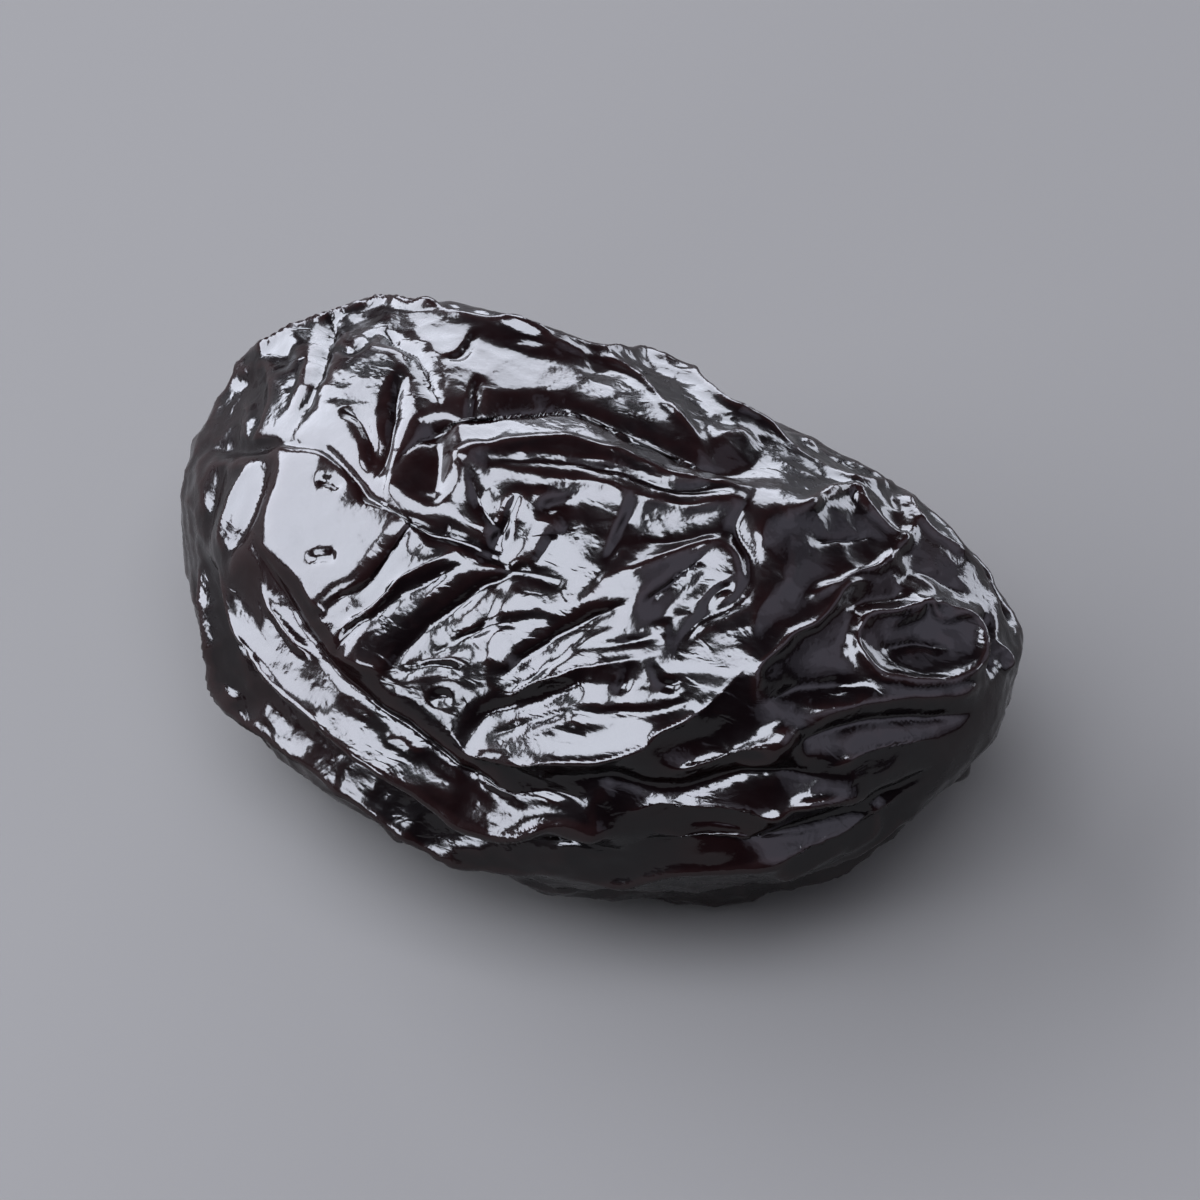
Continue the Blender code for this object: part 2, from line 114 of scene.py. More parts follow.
MIDDLE_FACE = [
    Fold(-0.65, 1.0, [(-8.2, 3.5), (-9.6, 2.0), (-10.8, 0.5), (-12.2, -0.6)]),
    Fold(0.30, 0.9, [(-6.0, 2.4), (-8.2, 1.6), (-9.8, 0.4), (-11.4, -1.4)]),
    Fold(-0.80, 1.3, [(-3.4, 1.6), (-5.6, 0.5), (-7.4, -0.9), (-8.8, -2.2), (-9.6, -3.3)]),
    Fold(-0.60, 1.0, [(1.2, 0.1), (-1.0, -1.0), (-2.6, -2.2), (-4.6, -3.5)]),
    Fold(-0.60, 1.0, [(0.0, -3.5), (-2.0, -4.2), (-3.6, -4.7), (-5.0, -5.1), (-6.0, -6.3)]),
    Fold(0.35, 0.9, [(2.8, -2.4), (0.4, -2.8), (-1.8, -3.4), (-4.0, -4.2)]),
    Fold(0.55, 1.2, [(-6.2, -6.6), (-2.0, -6.9), (1.6, -6.6), (2.6, -5.8), (4.4, -5.0), (6.2, -3.5)]),
    Fold(-0.55, 1.0, [(1.8, -0.2), (3.4, 0.9), (5.0, 2.0)]),
    Fold(-0.40, 0.9, [(-5.9, 5.4), (-5.3, 4.2), (-4.3, 3.0), (-4.5, 2.0)]),
    Fold(0.35, 1.0, [(-3.0, 5.6), (0.5, 5.0), (3.6, 4.3), (6.6, 4.0)]),
    Fold(-0.50, 1.0, [(7.0, 4.8), (6.3, 3.2), (6.8, 1.6), (6.2, 0.0), (4.4, -1.2), (3.4, -2.8)]),
    Fold(0.30, 1.0, [(0.6, 1.2), (2.8, 2.0), (5.6, 2.6)]),
]
STEM_END = [
    Fold(0.45, 1.1, [(8.2, 3.5), (10.0, 4.1), (11.4, 4.8), (12.2, 3.8), (13.8, 2.7)]),
    Fold(0.45, 1.1, [(14.4, 3.6), (13.8, 2.7), (12.4, 1.5), (11.0, 0.9), (9.0, -0.1)]),
    Fold(-0.50, 1.3, [(9.2, 2.4), (10.8, 2.6), (12.4, 2.9)]),
    Fold(-0.45, 0.9, [(13.6, 0.6), (14.5, 1.4), (15.6, 1.2), (17.0, 0.6)]),
    Fold(0.50, 1.0, [(12.3, -3.1), (11.6, -1.9), (12.2, -0.8), (13.6, -0.6), (14.9, -0.3), (16.2, -0.6),
                     (17.2, -1.2), (17.3, -2.7), (15.8, -3.6), (13.8, -3.7), (12.3, -3.1)]),
    Fold(-0.65, 1.3, [(12.8, -2.2), (14.4, -2.0), (15.9, -2.1)]),
    Fold(-0.45, 0.9, [(11.2, -0.4), (12.6, 0.1), (14.2, 0.3)]),
    Fold(-0.50, 0.7, [(18.0, -0.6), (17.8, -2.0), (17.7, -3.4)]),
    Fold(0.50, 0.8, [(18.3, -1.8), (18.7, -2.5), (18.6, -3.2)]),
    Fold(0.60, 1.5, [(6.9, -4.6), (7.1, -3.2), (8.4, -1.9), (10.0, -0.8), (11.2, 0.4), (12.4, 0.9)]),
    Fold(-0.50, 1.1, [(7.6, -4.4), (9.6, -3.8), (11.6, -3.6)]),
    Fold(0.55, 1.3, [(8.8, -5.6), (11.0, -4.9), (13.6, -4.5), (16.2, -4.3), (17.6, -3.6)]),
    Fold(-0.50, 1.1, [(8.6, -6.3), (11.0, -5.7), (14.0, -5.4), (16.8, -5.2)]),
]
LOWER_FACE = [
    Fold(0.50, 1.1, [(3.2, -7.8), (5.4, -7.0), (7.8, -6.4), (8.8, -5.8)]),
    Fold(-0.55, 1.2, [(-2.2, -7.8), (0.6, -7.8), (2.6, -8.6), (5.0, -8.2), (8.0, -7.6), (10.4, -8.0)]),
    Fold(0.50, 1.2, [(10.6, -7.4), (12.6, -6.7), (15.2, -6.2)]),
    Fold(0.50, 1.2, [(0.8, -9.6), (3.0, -9.0), (5.6, -9.3), (7.8, -9.6), (9.0, -9.0), (11.2, -8.9),
                     (13.0, -9.4)]),
    Fold(-0.60, 1.3, [(1.2, -10.8), (4.4, -10.6), (7.6, -10.8), (10.6, -10.2), (13.4, -9.0), (15.4, -7.8)]),
    Fold(0.60, 1.4, [(-1.8, -12.4), (1.0, -12.5), (3.2, -12.1), (6.0, -11.8), (8.6, -11.3), (11.4, -10.4),
                     (13.6, -9.3)]),
    Fold(-0.35, 0.8, [(3.8, -9.9), (5.4, -10.0), (6.8, -10.2)]),
]
SHOWN_FOLDS = SHOULDERS + CROWN + UPPER_FACE + BLOSSOM_END + MIDDLE_FACE + STEM_END + LOWER_FACE

# Creases too fine for the part's solid.
UPPER_CREASES = [
    Fold(-0.25, 0.5, [(-13.8, 11.2), (-14.1, 9.8)]),
    Fold(-0.30, 0.5, [(-11.8, 8.8), (-11.0, 8.2), (-10.4, 6.8), (-10.6, 5.6)]),
    Fold(-0.25, 0.4, [(-5.7, 12.2), (-6.2, 11.3), (-7.0, 10.9)]),
    Fold(-0.25, 0.4, [(-12.2, 11.8), (-11.4, 11.3), (-10.6, 11.8), (-10.2, 12.6)]),
    Fold(-0.30, 0.5, [(-12.7, 5.5), (-12.1, 5.4), (-11.8, 5.1)]),
    Fold(-0.35, 0.6, [(-12.9, 1.8), (-12.3, 1.9), (-11.8, 1.8)]),
    Fold(-0.30, 0.4, [(-5.5, 10.2), (-5.6, 9.2), (-5.8, 8.4)]),
    Fold(-0.30, 0.5, [(-5.4, 6.2), (-2.5, 6.2), (0.5, 5.7), (3.0, 5.1), (6.6, 4.6)]),
    Fold(-0.25, 0.4, [(0.2, 1.8), (0.8, 3.0), (1.4, 4.2)]),
    Fold(-0.30, 0.4, [(-3.6, 5.0), (-4.0, 3.6), (-4.6, 2.4)]),
    Fold(-0.25, 0.4, [(-1.2, 4.6), (-2.6, 4.2)]),
    Fold(-0.25, 0.4, [(-2.0, 2.9), (-2.8, 1.8)]),
    Fold(-0.25, 0.4, [(5.9, 0.6), (5.2, 0.2), (4.8, -0.6)]),
]
LOWER_CREASES = [
    Fold(0.20, 0.4, [(-15.0, 0.0), (-13.6, -1.6), (-12.8, -2.4)]),
    Fold(0.25, 0.4, [(-5.8, -7.6), (-4.8, -8.2), (-2.4, -8.4)]),
    Fold(-0.25, 0.4, [(-5.8, 1.7), (-8.4, 0.7), (-9.6, -0.2), (-10.9, -1.4), (-11.8, -2.5)]),
    Fold(-0.30, 0.5, [(-9.2, -3.2), (-7.6, -2.9), (-6.0, -3.1)]),
    Fold(-0.30, 0.5, [(-7.4, -4.5), (-7.0, -4.3), (-6.5, -4.4)]),
    Fold(-0.25, 0.5, [(-2.2, -0.8), (-3.8, -0.9), (-5.4, -1.2), (-6.6, -1.8)]),
    Fold(-0.20, 0.3, [(2.6, -1.6), (0.6, -1.9), (-1.0, -2.2), (-2.8, -3.2), (-4.4, -4.0)]),
    Fold(-0.30, 0.4, [(1.4, -2.8), (1.2, -3.6), (0.9, -4.1)]),
    Fold(-0.30, 0.4, [(2.2, -2.8), (2.6, -3.6), (3.6, -3.9)]),
    Fold(-0.25, 0.4, [(4.4, -4.2), (2.6, -4.8), (0.4, -5.0), (-1.6, -4.9), (-3.6, -5.4), (-5.2, -5.9)]),
    Fold(0.25, 0.5, [(7.6, -9.8), (8.6, -9.2), (10.2, -8.9), (11.6, -9.4), (12.8, -9.6), (12.6, -10.6),
                     (11.2, -11.4)]),
]
SHOWN_CREASES = UPPER_CREASES + LOWER_CREASES
# Thin rounded ridges: along the crown, towards the stem, and down the left end.
CROWN_RIDGES = [
    Fold(0.16, 0.45, [(-16.8, 10.2), (-15.8, 11.2), (-14.2, 13.0), (-12.5, 13.5), (-11.0, 13.9), (-9.0, 13.2),
                      (-7.0, 13.1), (-5.6, 12.9), (-4.0, 12.2), (-2.0, 11.5), (0.5, 10.9), (2.0, 10.1),
                      (3.0, 9.2), (4.0, 7.9), (4.6, 7.3)]),
]
STEM_RIDGES = [
    Fold(0.14, 0.35, [(8.6, 3.6), (10.0, 4.2), (11.4, 4.8), (12.0, 3.9), (13.7, 2.9), (13.9, 2.2)]),
    Fold(0.12, 0.35, [(10.3, 0.2), (11.4, 1.0), (12.6, 1.4), (13.6, 2.2)]),
    Fold(0.14, 0.35, [(13.9, 0.2), (14.8, -0.2), (15.5, -0.9), (17.3, -1.0), (17.4, -4.2)]),
    Fold(0.10, 0.30, [(13.0, -1.2), (14.2, -0.9), (14.8, -0.4)]),
    Fold(0.12, 0.35, [(12.4, -3.6), (13.4, -3.5), (14.2, -3.8), (15.6, -3.6)]),
]
STRIP_RIDGES = [
    Fold(0.14, 0.35, [(-15.2, 0.6), (-14.4, -0.6), (-13.1, -2.3)]),
    Fold(0.12, 0.35, [(-9.5, -5.6), (-8.6, -6.1), (-7.6, -6.9)]),
    Fold(0.12, 0.35, [(-5.6, -7.6), (-4.8, -8.2), (-3.0, -8.6), (-1.4, -8.9)]),
]
SHOWN_RIDGES = CROWN_RIDGES + STEM_RIDGES + STRIP_RIDGES

# The hidden side's folds run lengthwise, in rows round the long axis between these bearings, in
# degrees from +Y over the top. Ridges and grooves take turns, and short branches join the rows.
HIDDEN_FROM = 207.0
HIDDEN_TO = 398.0
HIDDEN_SPACING = 3.1 * MM
HIDDEN_ENDS = (-0.97, 0.93)  # along the fruit, from -1 at the blossom end to 1 at the stem end
HIDDEN_RUN = (0.55, 1.30)  # shortest and longest, in the same measure
HIDDEN_SWAY = (3.0, 6.0)  # degrees that a fold swings to either side
HIDDEN_SWINGS = 5.0  # how fast it swings along the fruit
HIDDEN_SLANT = 7.0  # degrees
HIDDEN_LIFT = (0.45, 0.85)
HIDDEN_REACH = (1.2, 1.8)
BRANCH_RUN = (0.12, 0.30)
BRANCH_LIFT = (0.30, 0.50)
BRANCH_REACH = (0.8, 1.1)
BRANCH_CHANCE = 0.8
HIDDEN_SEED = 11
ROUTE_STEPS = 24

# The studio's panels: bearing from -Y towards +X and height, in degrees; half angles across and up;
# radiance and colour. A great window on the left and a small one by it, a lamp overhead, and a low window
# and a narrow strip behind make the highlights. The others, one within another, are the dim far side of
# the room.
Panel = namedtuple("Panel", "azimuth elevation half_width half_height radiance colour")
PANEL_DISTANCE = 0.6
DAYLIGHT = (0.84, 0.88, 1.0)
WINDOW = [
    Panel(275, 32, 36, 24, 16.4, DAYLIGHT),
    Panel(345, 21, 9, 8, 16.4, DAYLIGHT),
    Panel(0, 75, 22, 18, 17.0, DAYLIGHT),
    Panel(203, 18, 17, 14, 12.0, DAYLIGHT),
    Panel(158, 7, 22, 7, 9.0, DAYLIGHT),
]
FAR_SIDE = [
    Panel(100, 36, 42, 30, 0.4, (0.82, 0.80, 1.0)),
    Panel(98, 38, 32, 22, 0.4, (0.82, 0.80, 1.0)),
    Panel(96, 40, 20, 14, 0.4, (0.82, 0.80, 1.0)),
]
ROOM_GLOW = (0.030, 0.027, 0.036)

# Dark places for a facet to mirror: before the fruit, and behind it to the right, between the windows or
# on the floor.
DARK_BEFORE = [Panel(40, 28, 42, 22, 0, None)]
DARK_BEHIND = [
    Panel(160, 38, 18, 22, 0, None),
    Panel(228, 30, 9, 60, 0, None),
    Panel(325, 24, 6, 14, 0, None),
    Panel(262, -26, 76, 16, 0, None),
    Panel(200, -14, 24, 12, 0, None),
]

# The large facets of the side that is seen, by what each mirrors to the viewer: a window, the dim far
# side of the room, the dark before the fruit, or that behind it. The outlines are (across, up) in mm from
# the middle of the outline that is seen.
BRIGHT_FACETS = [
    # upper left
    [(-18.6, 7.1), (-17.1, 7.1), (-16.95, 9.9), (-17.4, 9.9), (-17.9, 8.8)],
    [(-16.6, 10.4), (-15.6, 10.9), (-14.6, 12.0), (-14.2, 12.9), (-15.2, 12.2), (-16.6, 10.9)],
    [(-15.4, 10.9), (-14.4, 10.7), (-14.5, 11.6), (-15.2, 11.4)],
    [(-15.3, 10.4), (-14.3, 10.7), (-14.2, 9.9), (-14.3, 9.2), (-14.6, 8.4), (-14.4, 7.6), (-16.1, 7.6),
     (-15.5, 8.8)],
    [(-14.2, 12.6), (-12.8, 13.1), (-13.0, 11.6), (-13.1, 10.0), (-13.7, 9.9), (-13.8, 11.3), (-14.0, 11.9)],
    [(-12.0, 13.1), (-11.1, 13.5), (-11.1, 12.9), (-12.0, 12.0)],
    [(-13.0, 9.6), (-12.2, 10.2), (-11.2, 10.9), (-10.4, 11.4), (-9.8, 11.4), (-9.1, 11.2), (-8.7, 10.4),
     (-8.5, 9.4), (-9.1, 9.3), (-9.2, 10.3), (-9.5, 10.0), (-9.6, 8.2), (-9.8, 7.2), (-10.2, 7.2),
     (-10.9, 8.9), (-12.1, 9.1), (-12.9, 8.9)],
    [(-12.9, 8.9), (-12.1, 9.0), (-11.9, 8.2), (-11.2, 7.3), (-12.4, 7.2), (-13.9, 7.7), (-13.5, 8.5)],
    [(-9.0, 10.0), (-8.4, 9.4), (-7.0, 9.0), (-6.2, 9.2), (-6.4, 8.8), (-7.0, 8.3), (-8.2, 8.3), (-8.6, 7.5),
     (-9.1, 6.6), (-9.6, 5.4), (-9.7, 4.9), (-10.1, 5.0), (-9.8, 6.4), (-9.6, 7.6), (-9.2, 8.8)],
    [(-8.2, 12.9), (-6.8, 13.0), (-6.1, 12.6), (-6.1, 11.8), (-7.2, 11.0), (-7.8, 11.8)],
    # the crown's band
    [(-7.0, 10.6), (-6.1, 11.4), (-5.8, 11.5), (-4.6, 11.7), (-3.0, 11.2), (-1.4, 10.8), (-0.4, 10.3),
     (-0.3, 9.8), (1.0, 9.4), (2.0, 9.3), (2.5, 8.7), (3.2, 8.2), (4.0, 7.5), (4.8, 6.8), (4.6, 6.6),
     (3.0, 7.0), (1.2, 7.8), (-0.4, 8.4), (-1.1, 9.0), (-1.3, 9.5), (-3.4, 9.6), (-3.7, 9.8), (-4.2, 9.3),
     (-4.6, 9.1), (-5.1, 10.0), (-5.2, 10.5), (-5.7, 10.3), (-6.0, 9.6), (-6.3, 9.0), (-7.0, 9.0)],
    [(-4.9, 7.0), (-3.8, 7.9), (-2.8, 8.2), (-1.2, 8.3), (-1.6, 7.6), (-1.3, 7.1), (0.0, 6.9), (1.0, 6.2),
     (2.4, 5.8), (4.3, 5.4), (4.2, 5.2), (2.0, 5.7), (0.5, 6.2), (-0.8, 6.4), (-2.6, 6.6), (-2.6, 7.2),
     (-3.6, 7.1), (-3.8, 6.3), (-4.8, 6.3)],
    # the great left facet and its lower neighbours
    [(-14.3, 6.7), (-13.0, 6.7), (-12.0, 6.2), (-11.2, 5.4), (-10.9, 4.4), (-10.1, 4.0), (-8.7, 3.8),
     (-9.4, 2.8), (-10.2, 1.6), (-11.2, 0.6), (-12.0, -0.6), (-13.0, -0.4), (-13.4, 0.2), (-14.2, 1.6),
     (-14.8, 2.6), (-15.1, 4.0), (-14.6, 5.2)],
    [(-13.0, -0.6), (-12.0, -0.7), (-10.8, -0.8), (-10.0, -0.6), (-11.0, -1.8), (-11.9, -2.5), (-12.6, -2.3),
     (-12.9, -1.6)],
    [(-8.4, 2.4), (-7.0, 2.7), (-5.6, 2.4), (-4.7, 1.9), (-6.0, 1.2), (-7.8, 0.2), (-8.4, -0.6), (-8.9, -1.6),
     (-9.5, -2.9), (-10.6, -3.0), (-11.6, -2.6), (-10.6, -1.6), (-9.6, -0.6), (-8.6, 0.5), (-7.0, 1.2),
     (-6.0, 1.7), (-7.2, 1.5), (-8.8, 0.9), (-9.2, 1.4)],
    [(-9.5, -3.3), (-8.0, -3.4), (-6.4, -3.0), (-5.6, -3.0), (-5.2, -3.4), (-5.0, -4.3), (-5.2, -5.0),
     (-5.7, -6.0), (-5.8, -6.8), (-6.6, -6.7), (-7.6, -6.2), (-8.0, -5.4), (-8.6, -5.0), (-9.4, -4.3)],
    # the middle
    [(-4.9, 6.0), (-3.2, 5.9), (-1.0, 5.8), (0.0, 5.5), (1.0, 5.0), (1.2, 4.4), (1.0, 3.9), (0.6, 3.0),
     (0.2, 2.0), (0.1, 1.2), (-0.9, 0.4), (-0.9, 1.6), (-1.6, 1.1), (-2.3, 1.3), (-2.2, 2.2), (-1.7, 3.0),
     (-1.1, 4.0), (-0.9, 5.0), (-2.8, 5.0), (-3.8, 5.0), (-4.2, 4.6), (-4.9, 5.2)],
    [(-4.2, 4.6), (-3.8, 5.2), (-4.9, 5.4), (-5.0, 4.6), (-5.4, 4.0), (-5.8, 4.6), (-7.2, 4.4), (-6.6, 3.6),
     (-5.9, 2.9), (-5.2, 3.1), (-4.9, 3.8)],
    [(1.6, 4.8), (2.8, 4.9), (4.4, 4.7), (6.5, 4.5), (6.3, 4.0), (5.4, 3.4), (4.2, 2.9), (2.6, 2.9),
     (1.4, 3.0), (1.2, 2.6), (1.5, 3.6)],
    [(0.1, 1.0), (1.4, 1.4), (3.0, 2.0), (4.6, 2.4), (5.9, 2.4), (6.3, 1.6), (6.6, 1.0), (6.3, 0.4),
     (5.8, 0.0), (5.2, -0.3), (4.9, -0.4), (3.2, -0.3), (3.1, 0.0), (4.0, 0.7), (4.6, 1.2), (5.0, 1.8),
     (4.2, 1.5), (3.2, 1.2), (2.2, 0.6), (1.9, 0.2), (1.5, -0.1), (0.1, 0.1)],
    [(-4.6, 0.3), (-3.8, 1.0), (-2.9, 1.0), (-1.6, 0.5), (-1.0, 0.0), (-1.2, -0.7), (-2.0, -0.8),
     (-3.2, -0.4), (-4.4, -0.4)],
    [(-5.0, -1.8), (-4.0, -1.1), (-2.0, -0.9), (-1.4, -1.0), (-2.2, -1.7), (-2.8, -2.2), (-3.6, -2.9),
     (-4.4, -2.9), (-4.9, -2.2)],
    [(-5.8, -6.8), (-4.8, -5.8), (-3.0, -5.8), (-2.0, -5.5), (-1.4, -5.6), (-1.2, -5.9), (0.4, -5.8),
     (1.8, -5.6), (1.7, -6.2), (1.5, -6.9), (-2.0, -6.9)],
    [(-4.9, -4.4), (-3.8, -4.4), (-2.6, -3.8), (-1.4, -3.3), (-0.4, -3.0), (-0.2, -2.8), (-0.1, -3.4),
     (0.8, -3.4), (1.2, -2.7), (1.7, -2.7), (2.4, -3.4), (2.8, -3.5), (2.9, -2.0), (3.0, -1.0), (2.6, -1.1),
     (2.4, -2.1), (0.8, -2.2), (-0.6, -2.3), (-1.6, -2.8), (-2.6, -3.4), (-3.8, -4.1)],
    [(2.9, -3.5), (4.2, -3.3), (5.9, -3.3), (4.6, -4.3), (4.0, -5.0), (2.8, -5.4), (1.8, -5.7), (0.6, -5.7),
     (2.4, -5.2), (3.8, -4.8), (3.6, -4.3), (2.2, -4.4), (1.9, -3.4), (1.6, -3.0), (1.6, -4.4), (0.4, -4.6),
     (-0.2, -3.6), (-0.5, -4.3), (-2.0, -4.7), (-4.0, -5.4), (-5.0, -5.8), (-2.6, -5.2), (-0.6, -4.5),
     (0.8, -4.9), (3.2, -4.5), (4.2, -4.1)],
    # the strips at the lower left
    [(-16.6, 6.5), (-15.5, 6.5), (-16.0, 5.4), (-16.5, 4.0), (-16.8, 2.6), (-17.2, 2.4), (-17.6, 3.0),
     (-17.2, 4.2), (-16.9, 5.4)],
    [(-18.9, 1.6), (-17.9, 1.2), (-17.2, -0.4), (-16.6, -2.2), (-16.4, -4.6), (-17.3, -4.4), (-17.9, -2.6),
     (-18.5, -0.4)],
    [(-17.1, 0.8), (-16.4, 0.6), (-15.2, 0.6), (-14.6, 0.0), (-14.4, -0.6), (-15.2, -0.4), (-16.2, -0.2),
     (-16.8, 0.0)],
    [(-2.6, -8.4), (-1.4, -8.8), (-0.3, -9.1), (-0.3, -10.4), (-1.6, -9.9), (-2.4, -9.3), (-3.2, -9.0),
     (-4.6, -8.4), (-5.4, -7.6)],
    # below the middle
    [(6.0, -6.6), (7.0, -6.2), (8.4, -6.0), (7.6, -6.9), (6.4, -7.3), (5.2, -7.0), (3.7, -7.6), (4.8, -6.8)],
    # the nub at the stem
    [(17.7, -2.6), (18.3, -1.8), (19.2, -1.6), (19.3, -2.4), (18.6, -3.1), (18.0, -3.8), (17.6, -3.3)],
]
DIM_FACETS = [
    [(-9.5, 4.9), (-9.0, 6.4), (-8.4, 7.8), (-7.6, 7.8), (-7.2, 6.4), (-7.4, 5.0)],
    [(5.4, 7.4), (6.4, 7.7), (7.3, 7.3), (7.0, 6.2), (6.0, 6.0), (5.3, 6.4)],
    [(8.8, 3.4), (10.0, 3.8), (11.6, 4.1), (12.4, 3.2), (13.4, 2.6), (12.4, 1.6), (11.0, 1.0), (9.4, 0.9),
     (8.9, 2.0)],
    [(12.1, 4.9), (13.8, 4.6), (14.2, 3.4), (13.7, 3.1), (12.6, 3.7)],
    [(14.9, 2.4), (15.8, 2.0), (17.0, 1.7), (18.2, 0.6), (17.6, 0.1), (16.0, 0.4), (15.0, 1.4)],
    [(7.0, -3.4), (7.8, -2.8), (9.2, -1.8), (10.6, -0.8), (11.4, 0.4), (12.6, 0.9), (13.7, 1.8), (13.7, 0.6),
     (11.6, -0.2), (11.2, -1.8), (9.8, -2.2), (8.6, -3.0), (7.8, -4.4), (7.2, -4.3)],
    [(13.0, -1.1), (14.6, -0.9), (15.8, -1.2), (16.0, -2.4), (14.6, -3.2), (12.8, -2.6)],
    [(8.9, -5.6), (10.4, -4.9), (12.4, -4.3), (14.6, -4.1), (16.6, -4.0), (17.2, -3.8), (16.0, -4.6),
     (13.6, -4.9), (11.2, -5.1), (9.2, -5.9)],
    [(10.8, -6.3), (12.4, -5.9), (14.4, -5.6), (15.9, -5.8), (14.4, -6.9), (12.9, -7.9), (11.5, -8.0),
     (11.4, -7.0)],
    [(2.0, -6.4), (3.0, -6.8), (3.3, -7.8), (2.6, -7.5)],
    [(0.4, -4.9), (2.0, -5.1), (3.4, -4.8), (1.0, -5.6), (-0.6, -5.8), (-1.2, -5.2), (-0.6, -4.7)],
    [(-3.5, 7.0), (-2.7, 6.9), (-2.4, 6.5), (0.2, 6.2), (2.0, 5.6), (4.4, 5.1), (4.0, 4.8), (2.0, 5.0),
     (0.9, 5.1), (-0.2, 5.7), (-2.0, 5.9), (-3.4, 6.0)],
]
FRONT_FACETS = [
    # the wedges between the left facets
    [(-11.2, 0.7), (-10.2, 1.7), (-9.3, 2.9), (-8.6, 3.6), (-7.8, 3.2), (-8.4, 2.4), (-9.2, 1.4), (-10.4, 0.0),
     (-12.0, -0.7)],
    [(-9.2, 0.9), (-8.0, 1.4), (-6.0, 1.8), (-6.6, 1.3), (-8.4, 0.6), (-9.6, -0.5), (-10.4, -0.9)],
    [(-4.9, 1.6), (-3.8, 1.4), (-4.4, 0.6), (-4.8, -0.2), (-5.6, -1.4), (-6.6, -2.0), (-8.0, -2.6),
     (-9.2, -3.2), (-9.0, -2.2), (-8.4, -0.8), (-7.6, 0.2), (-6.0, 1.0)],
    [(-9.3, -3.2), (-8.0, -2.7), (-6.8, -2.6), (-5.8, -2.6), (-6.2, -3.0), (-7.4, -3.4), (-8.6, -3.4)],
    [(-8.4, 3.7), (-7.2, 4.2), (-6.4, 3.9), (-5.8, 2.9), (-5.0, 2.4), (-6.4, 2.6), (-7.8, 3.1)],
    [(-6.4, 6.4), (-5.4, 6.2), (-5.0, 5.2), (-5.4, 4.1), (-5.8, 4.6), (-6.3, 5.4)],
    # the middle
    [(-4.8, 3.2), (-4.2, 4.4), (-3.6, 4.8), (-3.3, 3.4), (-4.2, 2.2), (-4.9, 1.8)],
    [(-2.8, 4.8), (-0.9, 4.8), (-1.3, 4.0), (-2.6, 4.3)],
    [(-2.7, 3.3), (-1.7, 3.4), (-2.0, 2.2), (-2.5, 1.4), (-1.4, 0.5), (-3.0, 1.2), (-3.0, 2.4)],
    [(1.9, 0.2), (2.6, 0.9), (3.6, 1.3), (5.0, 1.8), (4.6, 1.1), (3.9, 0.5), (3.1, -0.1), (3.0, -0.8),
     (2.0, -0.7), (1.6, -0.2)],
    [(-0.4, 0.0), (0.6, -0.1), (0.8, -1.0), (-0.4, -1.3), (-1.6, -2.0), (-2.8, -2.8), (-3.8, -3.0),
     (-2.8, -2.1), (-1.6, -1.2), (-1.0, -0.4)],
    [(-5.0, -2.4), (-4.6, -2.9), (-3.9, -3.0), (-3.9, -4.0), (-4.6, -4.2), (-5.0, -3.6)],
    [(-4.9, -4.6), (-3.8, -4.6), (-2.6, -4.1), (-1.0, -3.3), (-0.9, -4.2), (-2.4, -4.6), (-4.2, -5.1),
     (-5.8, -6.2), (-5.2, -5.2)],
    [(0.1, -3.5), (0.9, -3.3), (1.3, -2.7), (1.5, -3.6), (1.0, -4.3), (0.6, -4.0)],
    [(1.8, -2.7), (2.2, -3.3), (2.8, -3.7), (3.7, -3.8), (3.0, -4.1), (2.1, -4.1), (1.9, -3.4)],
    # below the middle
    [(-10.6, -4.2), (-8.4, -6.0), (-6.6, -7.6), (-5.6, -7.8), (-4.6, -8.6), (-4.8, -9.3), (-6.0, -8.9),
     (-7.4, -7.8), (-9.0, -6.6), (-11.2, -5.2)],
    [(0.6, -8.0), (2.4, -8.4), (4.6, -8.4), (6.6, -8.0), (7.6, -8.8), (7.2, -10.2), (5.2, -10.6), (2.6, -10.2),
     (0.8, -9.4)],
    [(8.0, -10.4), (10.0, -10.2), (12.4, -9.6), (13.2, -10.2), (11.0, -11.4), (8.4, -12.0), (7.0, -11.6)],
    [(3.2, -3.1), (5.4, -3.2), (6.8, -3.4), (6.2, -4.4), (4.6, -5.4), (4.2, -4.6), (3.6, -3.9)],
]
